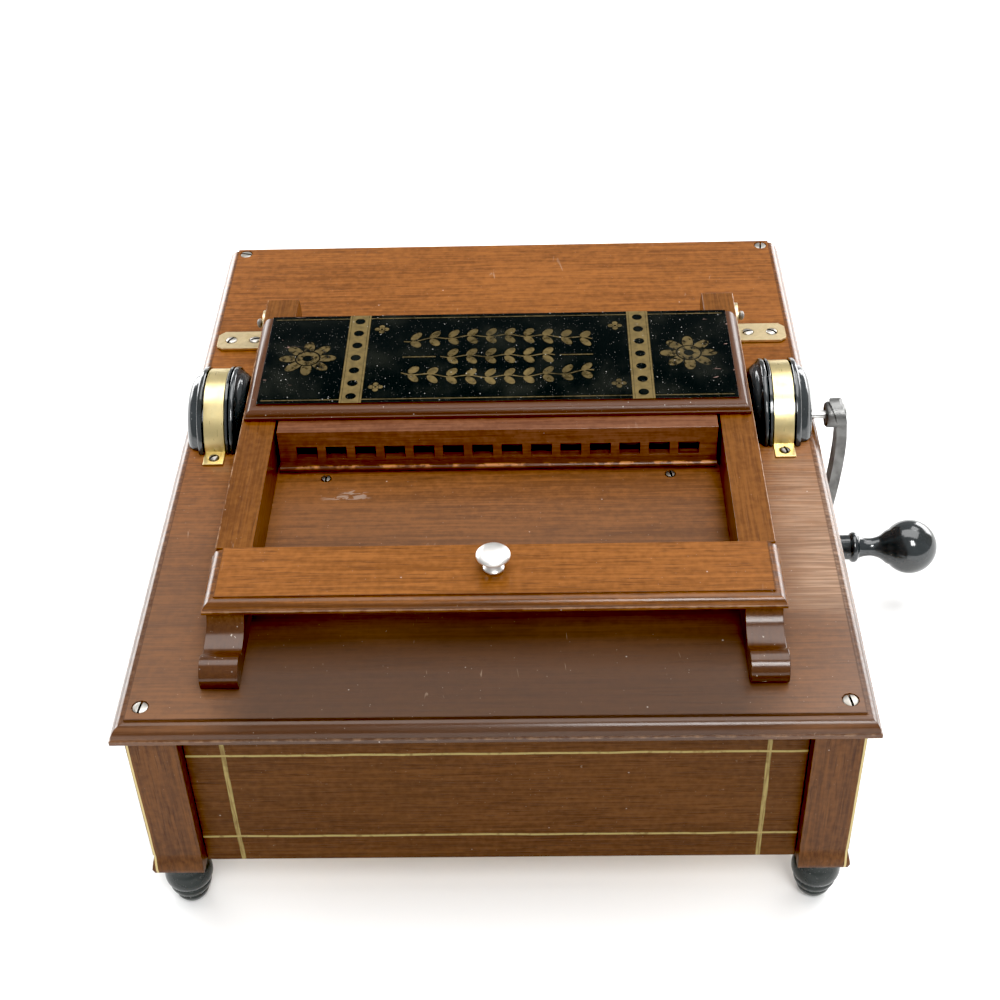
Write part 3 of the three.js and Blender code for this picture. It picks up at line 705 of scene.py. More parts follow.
def middle_of(node: str) -> Vector:
    """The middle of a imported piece's box."""
    low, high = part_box(node)
    return (low + high) / 2


def mount(piece: bpy.types.Object, body: str, finish: bpy.types.Material) -> None:
    """Gives a piece its body and its material."""
    piece.data.materials.clear()
    piece.data.materials.append(finish)
    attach(piece, body)
    LOG.info("%s rides on %s", piece.name, body)


def dress(node: str, finish: bpy.types.Material) -> None:
    """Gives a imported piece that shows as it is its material."""
    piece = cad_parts[node]
    piece.data.materials.clear()
    piece.data.materials.append(finish)
    LOG.info("%s dressed", node)


SIDES = (("left", -1), ("right", 1))
ENDS = ("front", "rear")


# ---- painted and worn marks ----
def edge_wear_and_highlight(sheet: Sheet, near: Signal, amount: float = 0.8) -> Mark:
    """Pale marks where a mask says that an edge is: wear on the cheeks' arrises, a painted
    highlight on a moulding's lower arris.
    """
    broken = sheet.noise((230, 230, 230), 4, 9.0).step(0.40, 0.66)
    return Mark(Tone.WORN_AND_HIGHLIT_ARRIS, near * broken * amount, 0.5)


def panel_lines(sheet: Sheet) -> list[Mark]:
    """The hand-painted gold lines of the front and rear panels."""
    low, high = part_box("front_panel")
    x, _, z = sheet.place()
    wobble = (sheet.noise((30, 30, 30), 3, 7.0) - 0.5) * 0.0016
    broken = sheet.noise((300, 300, 300), 3, 8.0).step(0.25, 0.5)
    middle = (low.x + high.x) / 2
    out = (x - middle).size() + wobble
    level = z + wobble
    thin, wide = 0.62 * MM, 0.95 * MM
    across = level.near(high.z - 18.6 * MM, thin) + level.near(low.z + 15.8 * MM, thin)
    upright = out.near(112.1 * MM, wide)
    brushed = sheet.noise((1500, 300, 90), 2, 8.6).step(0.35, 0.60) * 0.5 + 0.4
    upright = upright * brushed * (broken * 0.4 + 0.6)
    mask = (across * (broken * 0.6 + 0.35)).math("MAXIMUM", upright)
    return [Mark(Tone.PANEL_GOLD, mask, 0.5, 0.25)]


def post_lines(sheet: Sheet) -> list[Mark]:
    """The gold line down the outer edge of each post."""
    left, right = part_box("front_left_post")[0].x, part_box("front_right_post")[1].x
    x, y, _ = sheet.place()
    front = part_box("front_left_post")[0].y
    outer = (x - (left + right) / 2).size()
    reach = (right - left) / 2 - 1.4 * MM
    wobble = (sheet.noise((40, 40, 40), 3, 7.5) - 0.5) * 0.0008
    on_front = y.step(front + 2.4 * MM, front + 1.5 * MM)
    line = (outer + wobble).near(reach - 0.7 * MM, 0.45 * MM) * on_front
    return [Mark(Tone.POST_GOLD, line * 0.85, 0.45, 0.3)]


def cheek_wear(sheet: Sheet) -> list[Mark]:
    """The dark scroll feet of the cheeks, with their chips, and the worn arrises along the top."""
    low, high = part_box("left_cheek")[0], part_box("right_cheek")[1]
    x, y, z = sheet.place()
    outer = (x - (low.x + high.x) / 2).size()
    half = (high.x - low.x) / 2
    top = z.step(high.z - 1.0 * MM, high.z - 0.5 * MM)
    scroll = y.step(low.y + 34 * MM, low.y + 24 * MM)
    chips = sheet.noise((420, 420, 420), 3, 41.0).step(0.70, 0.74)
    return [
        Mark(Tone.SCROLL, scroll * 0.78, 0.28, coat=1.0),
        Mark(Tone.CHIP, scroll * chips * 0.7, 0.7),
        edge_wear_and_highlight(sheet, outer.near(half, 0.35 * MM, 0.3 * MM) * top, 0.7),
    ]


def moulding_tone_and_painted_light(node: str, out: float) -> MarksOf:
    """The darker moulding, a painted highlight along the lower arris and painted shade in the quirk
    of a board's moulding.

    Args:
        node: The moulded board.
        out: How far its moulding stands out, in millimetres.

    Returns:
        What makes the marks.
    """

    def marks(sheet: Sheet) -> list[Mark]:
        """The marks of that board."""
        low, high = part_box(node)
        x, y, z = sheet.place()
        outer = (x - (low.x + high.x) / 2).size()
        half = (high.x - low.x) / 2
        edge = outer.step(half - 0.9 * MM, half - 0.2 * MM)
        edge = edge.math("MAXIMUM", y.step(low.y + 0.9 * MM, low.y + 0.2 * MM))
        # The lower arris gets a pale broken line: a painted highlight.
        foot = z.near(low.z + 0.25 * (high.z - low.z), 0.6 * MM, 0.3 * MM)
        quirk, quirk_half, quirk_soft = (out + 0.1) * MM, 0.35 * MM, 0.2 * MM
        quirk_x = outer.near(half - quirk, quirk_half, quirk_soft)
        quirk_y = y.near(low.y + quirk, quirk_half, quirk_soft)
        top = z.step(high.z - 0.8 * MM, high.z - 0.3 * MM)
        # Painted shade: the quirk beside the flat is darkened.
        quirk_shade = quirk_x.math("MAXIMUM", quirk_y) * top
        moulded_x = outer.step(half - (out + 0.2) * MM, half - (out - 0.3) * MM)
        moulded_y = y.step(low.y + (out + 0.2) * MM, low.y + (out - 0.3) * MM)
        streaks = sheet.noise((18, 500, 500), 3, 44.0).step(0.35, 0.65)
        moulded = moulded_x.math("MAXIMUM", moulded_y) * (streaks * 0.5 + 0.3)
        return [
            Mark(Tone.MOULDING, moulded, 0.26, coat=0.85),
            edge_wear_and_highlight(sheet, edge * foot, 0.2),
            Mark(Tone.QUIRK_SHADE, quirk_shade * 0.5, 0.6),
        ]

    return marks


def top_ageing_and_painted_light(sheet: Sheet) -> list[Mark]:
    """The top darker towards the front, a painted shadow in front of the front board, a painted
    sheen on the right side, and scratches.
    """
    low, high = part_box("top_board")
    place_x, place_y, _ = sheet.place()
    x = place_x - (low.x + high.x) / 2
    y = place_y - low.y
    blur = (sheet.noise((14, 30, 14), 3, 31.0) - 0.5) * 0.030
    back = y + blur
    front = back.step(250 * MM, 60 * MM)
    between = (x.size() + blur).step(128 * MM, 94 * MM)
    # Painted shadow: the strip just in front of the front board, between the scroll feet, is
    # darkened where the board shades the top.
    shadow_patch = between * back.step(72 * MM, 40 * MM)
    depth = back.step(45 * MM, 85 * MM) * back.step(200 * MM, 130 * MM)
    # Painted sheen: the right side of the top, part way back, is made lighter in streaks.
    faded = (x + blur).step(112 * MM, 140 * MM) * depth
    streaks = sheet.noise((34, 1000, 1000), 3, 33.0).step(0.38, 0.68)
    u, v = (x + 70 * MM) / (13 * MM), (y - 143 * MM) / (6 * MM)
    scratches = sheet.noise((160, 420, 160), 3, 35.0, 1.0).step(0.54, 0.60)
    scored = (u * u + v * v).step(1.0, 0.3) * scratches
    return [
        Mark(Tone.SCORED, scored * 0.6, 0.6),
        Mark(Tone.DARKENED, front * 0.62, 0.42),
        Mark(Tone.PAINTED_SHADOW, shadow_patch * 0.74, 0.40),
        Mark(Tone.PAINTED_SHEEN, faded * (streaks * 0.45 + 0.22), 0.5),
        *moulding_tone_and_painted_light("top_board", 6)(sheet),
    ]


def block_wear(sheet: Sheet) -> list[Mark]:
    """The bright worn edge of the pressure block's lip."""
    low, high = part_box("pressure_block")
    _, y, z = sheet.place()
    lip = y.step(low.y + 5.0 * MM, low.y + 4.0 * MM) * z.step(low.z + 4.4 * MM, low.z + 3.0 * MM)
    edge = y.near(low.y + 1.0 * MM, 0.7 * MM, 0.4 * MM) * lip
    rubbed = sheet.noise((160, 160, 160), 4, 43.0).step(0.46, 0.60)
    return [
        Mark(Tone.LIP, lip * 0.6, 0.4),
        Mark(Tone.WORN_LIP, edge * rubbed * 0.7, 0.45),
    ]


@dataclass(frozen=True)
class GoldWork:
    """The gold ornament of the name board: two punched bands, borders, leaf rows and rosettes."""

    band: float = 68.7
    band_half: float = 5.2
    seam: float = 4.2
    dots: int = 7
    dot: float = 2.5
    leaf_pitch: float = 9.2
    leaf_out: float = 3.2
    leaf_half: Point = (2.3, 3.1)
    row_apart: float = 17.0
    sprig: Point = (57.5, 24.0)
    sprig_reach: float = 3.6
    rosette: float = 92.0
    rosette_reach: float = 14.0
    out: float = 5.5

    def leaf_row(self, x: Signal, y: Signal, row: Sequence[float]) -> Signal:
        """A running stem with paired leaves.

        Args:
            x: Distance across from the board's middle.
            y: Distance back from the flat's front edge.
            row: Its place in depth, half-length, rise at the ends and leaf pitch, in millimetres.

        Returns:
            The mask of the row.
        """
        depth, half, rise, pitch = (n * MM for n in row)
        bend = x * x * (rise / (half * half))
        v = y - depth - bend
        stem = (x * (math.pi / pitch)).math("SINE") * 0.0009
        cell = (x / pitch + 100.0).math("FRACT") - 0.5
        lean = v.math("SIGN") * 0.9
        u = cell * pitch - v * lean * 0.45
        up = v.size() - self.leaf_out * MM
        wide, tall = self.leaf_half[0] * MM, self.leaf_half[1] * MM
        leaf = (u * u / wide**2 + up * up / tall**2).step(1.08, 0.9)
        line = (v - stem).near(0.0, 0.35 * MM)
        return line.math("MAXIMUM", leaf) * x.size().step(half + 0.2 * MM, half - 0.2 * MM)

    def petals(self, x: Signal, y: Signal, at: Point, reach: float, count: int) -> Signal:
        """A rosette of petals with an open eye.

        Args:
            x: Distance across from the board's middle.
            y: Distance back from the flat's front edge.
            at: Its middle, in millimetres.
            reach: The length of its petals, in millimetres.
            count: How many petals it has.

        Returns:
            The mask of the rosette.
        """
        u, v = x - at[0] * MM, y - at[1] * MM
        far = (u * u + v * v).math("SQRT") / (reach * MM)
        turn = v.math("ARCTAN2", u) * (count / 2)
        limit = turn.math("COSINE").size().math("POWER", 0.6) * 0.78 + 0.2
        petal = (limit - far).step(-0.02, 0.02)
        return petal * far.step(0.16, 0.20) * (1 - far.near(0.42, 0.03, 0.02))

    def bands(self, across: Signal, y: Signal, deep: float) -> Signal:
        """The two bands, each with a row of punched dots between two seams.

        Args:
            across: Distance from the board's middle, without its sign.
            y: Distance back from the flat's front edge.
            deep: The flat's depth, in metres.

        Returns:
            The mask of the bands.
        """
        pitch = deep / self.dots
        cell = ((y / pitch).math("FRACT") - 0.5) * pitch
        away = across - self.band * MM
        far = (away * away + cell * cell).math("SQRT")
        hole = far.step((self.dot - 0.12) * MM, (self.dot + 0.12) * MM)
        seams = away.size().near(self.seam * MM, 0.15 * MM)
        return across.near(self.band * MM, self.band_half * MM) * hole * (1 - seams * 0.7)

    def fine_work(self, x: Signal, y: Signal, half: float, deep: float) -> Signal:
        """The border lines, the leaf rows, the dashes beside them and the four sprigs.

        Args:
            x: Distance across from the board's middle.
            y: Distance back from the flat's front edge.
            half: Half the flat's width, in metres.
            deep: Its depth, in metres.

        Returns:
            The mask of the fine work.
        """
        across = x.size()
        centre = (deep / 2) / MM
        inner = across.step(half - 1.5 * MM, half - 2.2 * MM)
        border = y.near(2.6 * MM, 0.25 * MM) + y.near(deep - 2.8 * MM, 0.25 * MM)
        fine = border * inner
        rows = ((self.row_apart, 46.0, -4.0), (0.0, 27.6, 0.0), (-self.row_apart, 46.0, 4.0))
        for back, long, rise in rows:
            row = (centre + back, long, rise, self.leaf_pitch)
            fine = fine.math("MAXIMUM", self.leaf_row(x, y, row))
        dashes = across.near(38 * MM, 8 * MM) * y.near(centre * MM, 0.3 * MM)
        fine = fine.math("MAXIMUM", dashes)
        out, back = self.sprig
        for place in (centre + back, centre - back):
            sprig = self.petals(across, y, (out, place), self.sprig_reach, 4)
            fine = fine.math("MAXIMUM", sprig)
        return fine

    def marks(self, sheet: Sheet) -> list[Mark]:
        """All the gold of the board, worn, and the mahogany of its moulding."""
        low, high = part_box("name_board")
        place_x, place_y, z = sheet.place()
        x = place_x - (low.x + high.x) / 2
        y = place_y - (low.y + self.out * MM)
        half = (high.x - low.x) / 2 - self.out * MM
        deep = high.y - low.y - self.out * MM
        across = x.size()
        worn = sheet.noise((420, 420, 420), 4, 11.0).step(0.30, 0.62)
        patchy = sheet.noise((45, 45, 45), 3, 12.0).step(0.30, 0.60)
        fine = self.fine_work(x, y, half, deep) * (worn * 0.5 + 0.35) * (patchy * 0.5 + 0.5)
        gold = (self.bands(across, y, deep) * (worn * 0.35 + 0.6)).math("MAXIMUM", fine)
        rosettes = self.petals(across, y, (self.rosette, (deep / 2) / MM), self.rosette_reach, 8)
        gold = gold.math("MAXIMUM", rosettes * worn * (patchy * 0.4 + 0.25))
        scratch = sheet.noise((90, 420, 90), 2, 14.0, 1.2).step(0.70, 0.74)
        scratch = scratch * across.step(half - 22 * MM, half)
        top = z.step(high.z - 0.35 * MM, high.z - 0.15 * MM)
        soft = 0.1 * MM
        on_flat = top * across.step(half + soft, half - soft) * y.step(-soft, soft)
        wood = 1 - on_flat
        figure = sheet.noise((22, 900, 900), 2, 15.0).step(0.2, 0.8)
        return [
            Mark(Tone.BOARD_GOLD, gold * on_flat, 0.45, 0.35),
            Mark(Tone.LACQUER_SCRATCH, scratch * on_flat * 0.7, 0.6),
            Mark(Tone.BOARD_EDGE, wood, 0.34),
            Mark(Tone.BOARD_FIGURE, wood * figure * 0.6, 0.34),
        ]


class Finishes:
    """Every material of the object, each made once."""

    PANEL_PALE: Colour = (0.094, 0.039, 0.013)
    PANEL_DEEP: Colour = (0.053, 0.021, 0.007)
    PANEL_VARNISH = 0.06
    RUBBED: Point3 = (700, 700, 700)

    def __init__(self) -> None:
        """Builds them all."""
        self.top = Wood(
            "top_mahogany",
            pale=(0.252, 0.092, 0.023),
            deep=(0.128, 0.045, 0.012),
            seed=3.1,
            pore_share=0.38,
            dust=0.5,
            marks=top_ageing_and_painted_light,
        ).build()
        self.panel = Wood(
            "panel_mahogany",
            self.PANEL_PALE,
            self.PANEL_DEEP,
            seed=7.7,
            varnish=self.PANEL_VARNISH,
            marks=panel_lines,
        ).build()
        self.side_panel = Wood(
            "side_mahogany",
            self.PANEL_PALE,
            self.PANEL_DEEP,
            grain=Axis.Y,
            seed=9.2,
            varnish=self.PANEL_VARNISH,
        ).build()
        self.post = Wood(
            "post_mahogany",
            pale=(0.112, 0.044, 0.013),
            deep=(0.052, 0.019, 0.006),
            grain=Axis.Z,
            seed=5.3,
            varnish=0.08,
            gloss=0.2,
            marks=post_lines,
        ).build()
        self.cheek = Wood(
            "cheek_mahogany",
            pale=(0.155, 0.058, 0.013),
            deep=(0.086, 0.030, 0.007),
            grain=Axis.Y,
            seed=6.1,
            pore_share=0.3,
            marks=cheek_wear,
        ).build()
        self.front = Wood(
            "front_board_mahogany",
            pale=(0.235, 0.088, 0.022),
            deep=(0.140, 0.051, 0.013),
            seed=8.8,
            dust=0.4,
            marks=moulding_tone_and_painted_light("front_board", 5),
        ).build()
        self.block = Wood(
            "block_redwood",
            pale=(0.18, 0.078, 0.041),
            deep=(0.105, 0.042, 0.023),
            seed=2.2,
            pore_share=0.25,
            marks=block_wear,
        ).build()
        self.plain = Wood(
            "bare_pine",
            pale=(0.62, 0.44, 0.25),
            deep=(0.42, 0.26, 0.12),
            pore=(0.30, 0.18, 0.09),
            seed=1.4,
            varnish=0.0,
            roughness=0.7,
        ).build()
        self.name = Lacquer("name_board_lacquer", dust=0.8, marks=GoldWork().marks).build()
        self.ebony = Lacquer(
            "ebonised_lacquer",
            colour=(0.029, 0.033, 0.035),
            roughness=0.11,
            dust=0.25,
            gloss=0.9,
            haze=0.06,
        ).build()
        # Painted shade: the feet get a darker and rougher copy of the caps' and grip's ebonised
        # lacquer, as they stand in the case's shadow.
        self.foot = Lacquer(
            "foot_lacquer_with_painted_shade",
            colour=(0.016, 0.020, 0.019),
            roughness=0.22,
            dust=0.4,
            gloss=0.45,
            haze=0.14,
        ).build()
        self.brass = Metal(
            "strap_brass",
            colour=(0.86, 0.71, 0.37),
            tarnish=(0.50, 0.45, 0.27),
            roughness=0.30,
            tarnish_share=0.55,
            brushed=(1300, 60, 60),
            relief=0.000003,
        ).build()
        self.leaf = Metal(
            "leaf_brass",
            colour=(0.78, 0.64, 0.40),
            tarnish=(0.38, 0.29, 0.15),
            roughness=0.36,
            tarnish_share=0.6,
            brushed=(60, 700, 700),
            relief=0.00002,
        ).build()
        self.screw = Metal(
            "screw_nickel",
            colour=(0.52, 0.50, 0.46),
            tarnish=(0.20, 0.17, 0.13),
            roughness=0.36,
            tarnish_share=0.6,
            brushed=self.RUBBED,
            relief=0.00003,
            shaded_slots=True,
        ).build()
        self.dull_screw = Metal(
            "screw_iron",
            colour=(0.30, 0.28, 0.26),
            tarnish=(0.12, 0.10, 0.08),
            roughness=0.42,
            tarnish_share=0.7,
            brushed=self.RUBBED,
            relief=0.00004,
            shaded_slots=True,
        ).build()
        self.nickel = Metal(
            "knob_nickel",
            colour=(0.80, 0.78, 0.75),
            tarnish=(0.60, 0.57, 0.52),
            roughness=0.42,
            tarnish_share=0.06,
            relief=0.0,
        ).build()
        self.steel = Metal(
            "drawn_steel",
            colour=(0.62, 0.62, 0.61),
            tarnish=(0.24, 0.22, 0.20),
            roughness=0.30,
            tarnish_share=0.4,
            brushed=(60, 1500, 1500),
        ).build()
        self.iron = Metal(
            "rubbed_iron",
            colour=(0.21, 0.21, 0.205),
            tarnish=(0.075, 0.07, 0.067),
            roughness=0.40,
            tarnish_share=0.6,
            brushed=(420, 420, 420),
            relief=0.00012,
        ).build()
        self.cloth = Cloth("bellows_cloth").build()


# ---- the case ----
@dataclass
class Screws:
    """The slotted screws of the top board."""

    finishes: Finishes
    slot_width: float = 0.95
    slot_depth: float = 1.3
    shank: float = 1.5
    length: float = 6.0
    DOMES: ClassVar[dict[str, float]] = {
        "corner_screw": 0.5,
        "pan_screw": 0.6,
        "strap_screw": 1.1,
        "leaf_screw": 0.9,
    }
    DULL: ClassVar[tuple[str, ...]] = ("pan_screw", "strap_screw")

    def model(self, kind: str, radius: float, dome: float) -> bpy.types.Object:
        """Models one screw at the origin, its rim at height 0.

        Args:
            kind: The screw's name.
            radius: Its head's radius, in millimetres.
            dome: How high the head is crowned.

        Returns:
            The screw.
        """
        shank = [(0, -self.length), (self.shank, -self.length + 1), (self.shank, -1.5)]
        head = [(radius, -0.25), *arc((0, 0), (radius, dome), 12, 90, 8)[:-1], (0, dome)]
        screw = Bench.turned(kind, [*shank, *head], Vector((0, 0, 0)), Axis.Z, steps=36)
        Bench.clear()
        height = (dome + 1) * MM
        middle = (dome - self.slot_depth) * MM + height / 2
        bpy.ops.mesh.primitive_cube_add(size=1, location=(0, 0, middle))
        saw = bpy.context.object
        bpy.ops.object.mode_set(mode="EDIT")
        bpy.ops.mesh.select_all(action="SELECT")
        bpy.ops.transform.resize(value=(3 * radius * MM, self.slot_width * MM, height))
        bpy.ops.object.mode_set(mode="OBJECT")
        Bench.pick(screw)
        cut = screw.modifiers.new("slot", "BOOLEAN")
        cut.object = saw
        bpy.ops.object.modifier_apply(modifier=cut.name)
        bpy.data.objects.remove(saw)
        bpy.ops.object.shade_smooth_by_angle(angle=Bench.SMOOTH)
        # The faces inside the slot get the 'grime' attribute, which darkens them in the material:
        # painted shade in the slot.
        half = 0.52 * self.slot_width * MM
        faces = screw.data.polygons
        cut_faces = [abs(f.center.y) < half and f.normal.z > -0.1 for f in faces]
        grime = screw.data.attributes.new("grime", "FLOAT", "FACE")
        grime.data.foreach_set("value", [float(inside) for inside in cut_faces])
        return screw

    def build(self) -> None:
        """Places every screw of the frame by its packed box."""
        random.seed(11)
        nodes = sorted(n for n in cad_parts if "_screw_" in n)
        for kind, dome in self.DOMES.items():
            own = [n for n in nodes if n.startswith(kind)]
            low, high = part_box(own[0])
            first = self.model(kind, (high.x - low.x) / 2 / MM, dome)
            for node in own:
                low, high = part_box(node)
                at = Vector(((low.x + high.x) / 2, (low.y + high.y) / 2, high.z - dome * MM))
                turn = Matrix.Rotation(random.uniform(0, math.pi), 4, "Z")
                move = Matrix.Translation(at) @ turn
                screw = Bench.copied(first, f"{node}_slotted", move)
                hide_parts(node)
                finish = self.finishes.dull_screw if kind in self.DULL else self.finishes.screw
                mount(screw, "case", finish)
            bpy.data.objects.remove(first)


@dataclass
class Case:
    """The top board, panels, posts and feet."""

    finishes: Finishes
    foot_tall: float = 28.7

    def foot_profile(self) -> list[Point]:
        """Radius and height of a turned foot: a pad, a cup, a ring, a bulge and a collar."""
        cup = flowing([(4.6, 0.4), (5.8, 1.6), (7.0, 3.6), (7.6, 5.6), (7.1, 6.9)], 4)
        ring = flowing([(8.0, 7.4), (9.0, 9.2), (9.3, 11.0), (8.7, 12.6)], 4)
        belly = [(9.7, 13.2), (10.5, 15.2), (10.6, 17.6), (10.0, 20.4), (8.9, 22.8), (8.2, 24.6)]
        bulge = flowing(belly, 4)
        collar = [(8.2, 26.0), (9.6, 26.4), (9.6, self.foot_tall), (0, self.foot_tall)]
        return [(0, 0), (3.9, 0), *cup, *ring, *bulge, *collar]

    def build(self) -> None:
        """Builds and dresses the case."""
        first = Bench.turned("foot", self.foot_profile(), Vector((0, 0, 0)), Axis.Z, steps=48)
        for end in ENDS:
            for hand, _ in SIDES:
                node = f"{end}_{hand}_foot"
                at = middle_of(node)
                at.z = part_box(node)[0].z
                foot = Bench.copied(first, f"{node}_turned", Matrix.Translation(at))
                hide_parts(node)
                mount(foot, "case", self.finishes.foot)
                post = Bench.eased(f"{end}_{hand}_post", 0.7, 2)
                mount(post, "case", self.finishes.post)
        bpy.data.objects.remove(first)
        mount(Bench.eased("top_board", 0.35, 2), "case", self.finishes.top)
        for end in ENDS:
            panel = Bench.eased(f"{end}_panel", 0.3, 1)
            mount(panel, "case", self.finishes.panel)
        for hand, _ in SIDES:
            panel = Bench.eased(f"{hand}_panel", 0.3, 1)
            mount(panel, "case", self.finishes.side_panel)
        mount(Bench.eased("bottom_board", 0.4, 1), "case", self.finishes.plain)
        mount(Bench.eased("tracker_bar", 0.2, 1), "case", self.finishes.block)


@dataclass
class Bearings:
    """The ebonised caps, their brass straps, and the hinge hardware."""

    finishes: Finishes
    radius: float = 27.8
    groove: float = 25.6

    def cap_profile(self) -> list[Point]:
        """Radius and place across of a cap, from its inner face to its dome."""
        edge = flowing([(22.4, 1.0), (24.2, 2.8), (25.2, 4.2)], 3)
        bevel = [(0, 0), (19.2, 0), (19.8, 0.2), *edge]
        bead = arc((26.2, 6.9), (1.6, 1.6), -75, 75, 8)
        rim = [(self.radius, 8.6), (self.radius, 9.6), (27.5, 9.9)]
        groove = [(self.groove, 10.0), (self.groove, 20.5)]
        flange = [(27.5, 20.6), (self.radius, 20.9), (self.radius, 22.2), (27.4, 22.9)]
        quirk = [(26.6, 23.4), (24.7, 23.6), (24.5, 24.4)]
        dome = flowing([(24.2, 25.2), (23.2, 27.0), (19.6, 29.0), (11, 30.4), (0, 30.7)], 5)
        return [*bevel, *bead, *rim, *groove, *flange, *quirk, *dome]

    def build(self) -> None:
        """Builds both sides."""
        for hand, side in SIDES:
            node = f"{hand}_bearing_cap"
            low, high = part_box(node)
            shaft = middle_of("crank_shaft")
            inner = low.x if side > 0 else high.x
            centre = Vector((inner, shaft.y, shaft.z))
            cap = Bench.turned(f"{node}_turned", self.cap_profile(), centre, Axis.X, side, 96)
            bpy.ops.object.mode_set(mode="EDIT")
            bpy.ops.mesh.select_all(action="SELECT")
            cut = {"plane_co": (0, 0, low.z), "plane_no": (0, 0, 1)}
            bpy.ops.mesh.bisect(**cut, use_fill=True, clear_inner=True)
            Bench.closed(cap)
            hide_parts(node)
            mount(cap, "case", self.finishes.ebony)
            mount(Bench.eased(f"{hand}_strap", 0.15, 2), "case", self.finishes.brass)
            bracket = Bench.eased(f"{hand}_hinge_bracket", 0.25, 2)
            mount(bracket, "case", self.finishes.leaf)
            mount(self.pin(hand, side), "case", self.finishes.dull_screw)

    def pin(self, hand: str, side: int) -> bpy.types.Object:
        """Turns one headed hinge pin.

        Args:
            hand: Its side's name.
            side: -1 or 1, the way that it points.

        Returns:
            The pin.
        """
        node = f"{hand}_hinge_pin"
        low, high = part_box(node)
        long = (high.x - low.x) / MM
        start = low.x if side > 0 else high.x
        middle = middle_of(node)
        steps = [(2.25, 5.0), (2.45, 4.2), (1.75, 3.4), (1.75, 2.7), (2.4, 2.1)]
        head = flowing([(radius, long - back) for radius, back in steps], 4)
        crown = arc((0, long - 1.6), (2.4, 1.6), 0, 90, 6)
        profile = [(0, 0), (1.1, 0), (1.5, 0.5), (1.5, long - 5.1), *head, *crown[1:-1], (0, long)]
        centre = Vector((start, middle.y, middle.z))
        pin = Bench.turned(f"{node}_turned", profile, centre, Axis.X, side, 40)
        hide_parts(node)
        return pin


@dataclass
class Works:
    """The bellows, reeds and wind board inside the case."""

    finishes: Finishes
    tilt: float = 13.0
    swing: float = 4.4

    def folds(self, piece: bpy.types.Object, name: str) -> None:
        """Gives a piece its own mesh; how far it would give as its bellows closes is worked out but
        not applied.

        Args:
            piece: A piece between the wind board and the bellows board.
            name: The bellows.
        """
        low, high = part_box(f"{name}_cloth")
        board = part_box(f"{name}_board")
        hinge = board[1].y if name == "feeder" else board[0].y
        reach = max(abs(low.y - hinge), abs(high.y - hinge))
        slopes = [math.tan(math.radians(angle)) for angle in (self.tilt, self.tilt - self.swing)]
        keep = 1 - reach * (slopes[0] - slopes[1]) / (high.z - low.z)
        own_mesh(piece)

    def sleeve(self, name: str) -> None:
        """Makes the cloth sleeve of one bellows.

        Args:
            name: The bellows.
        """
        node = f"{name}_cloth"
        sleeve = Bench.eased(node, 0.2, 1)
        mount(sleeve, "case", self.finishes.cloth)
        self.folds(sleeve, name)

    def build(self) -> None:
        """Dresses the pieces inside."""
        for node in ("reed_pan", "wind_board", "feeder_board", "reservoir_board", "take_up_roller"):
            dress(node, self.finishes.plain)
        for hand, _ in SIDES:
            dress(f"{hand}_connecting_rod", self.finishes.plain)
            dress(f"{hand}_eccentric", self.finishes.iron)
        for name in ("feeder", "reservoir"):
            self.sleeve(name)
        dress("reed_plate", self.finishes.leaf)
        spring = Bench.eased("reservoir_spring", 0.1, 1, 60)
        mount(spring, "case", self.finishes.steel)
        self.folds(spring, "reservoir")


@dataclass
class Crank:
    """The shaft, the cast arm and the turned grip."""

    finishes: Finishes
    ball: float = 14.0
    bore: float = 2.5

    def grip_profile(self, long: float) -> list[Point]:
        """Radius and place along of the grip, from its bore to the end of its ball.

        Args:
            long: The grip's length.

        Returns:
            The profile.
        """
        middle = long - self.ball
        bore = [(0, 35.2), (self.bore, 35.2), (self.bore, 0.4), (self.bore + 0.4, 0)]
        barrel = [(5.9, 0), (6.5, 0.7), (6.5, 13.4)]
        bead = arc((6.0, 15.7), (1.95, 2.1), -70, 70, 8)
        waist = [(5.9, 18.2), (5.1, 20.4), (4.7, 23.4), (4.85, 26.0), (6.0, 29.4), (8.4, 32.4)]
        neck = flowing(waist, 4)
        ball = arc((0, middle), (self.ball, self.ball), -48, 90, 22)
        return [*bore, *barrel, *bead, *neck, *ball[:-1], (0, long)]

    def build(self) -> None:
        """Builds and dresses the crank."""
        mount(Bench.eased("crank_arm", 0.8, 3, 40), "crank", self.finishes.iron)
        low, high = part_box("crank_shaft")
        long = (high.x - low.x) / MM
        middle = middle_of("crank_shaft")
        profile = [(0, 0), (1.6, 0), (2, 0.4), (2, long - 0.4), (1.6, long), (0, long)]
        start = Vector((low.x, middle.y, middle.z))
        shaft = Bench.turned("crank_shaft_turned", profile, start, Axis.X, 1, 40)
        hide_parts("crank_shaft")
        mount(shaft, "crank", self.finishes.steel)
        dress("grip_pin", self.finishes.steel)
        low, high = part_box("crank_grip")
        middle = middle_of("crank_grip")
        profile = self.grip_profile((high.x - low.x) / MM)
        start = Vector((low.x, middle.y, middle.z))
        grip = Bench.turned("crank_grip_turned", profile, start, Axis.X, 1, 72)
        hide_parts("crank_grip")
        mount(grip, "grip", self.finishes.ebony)


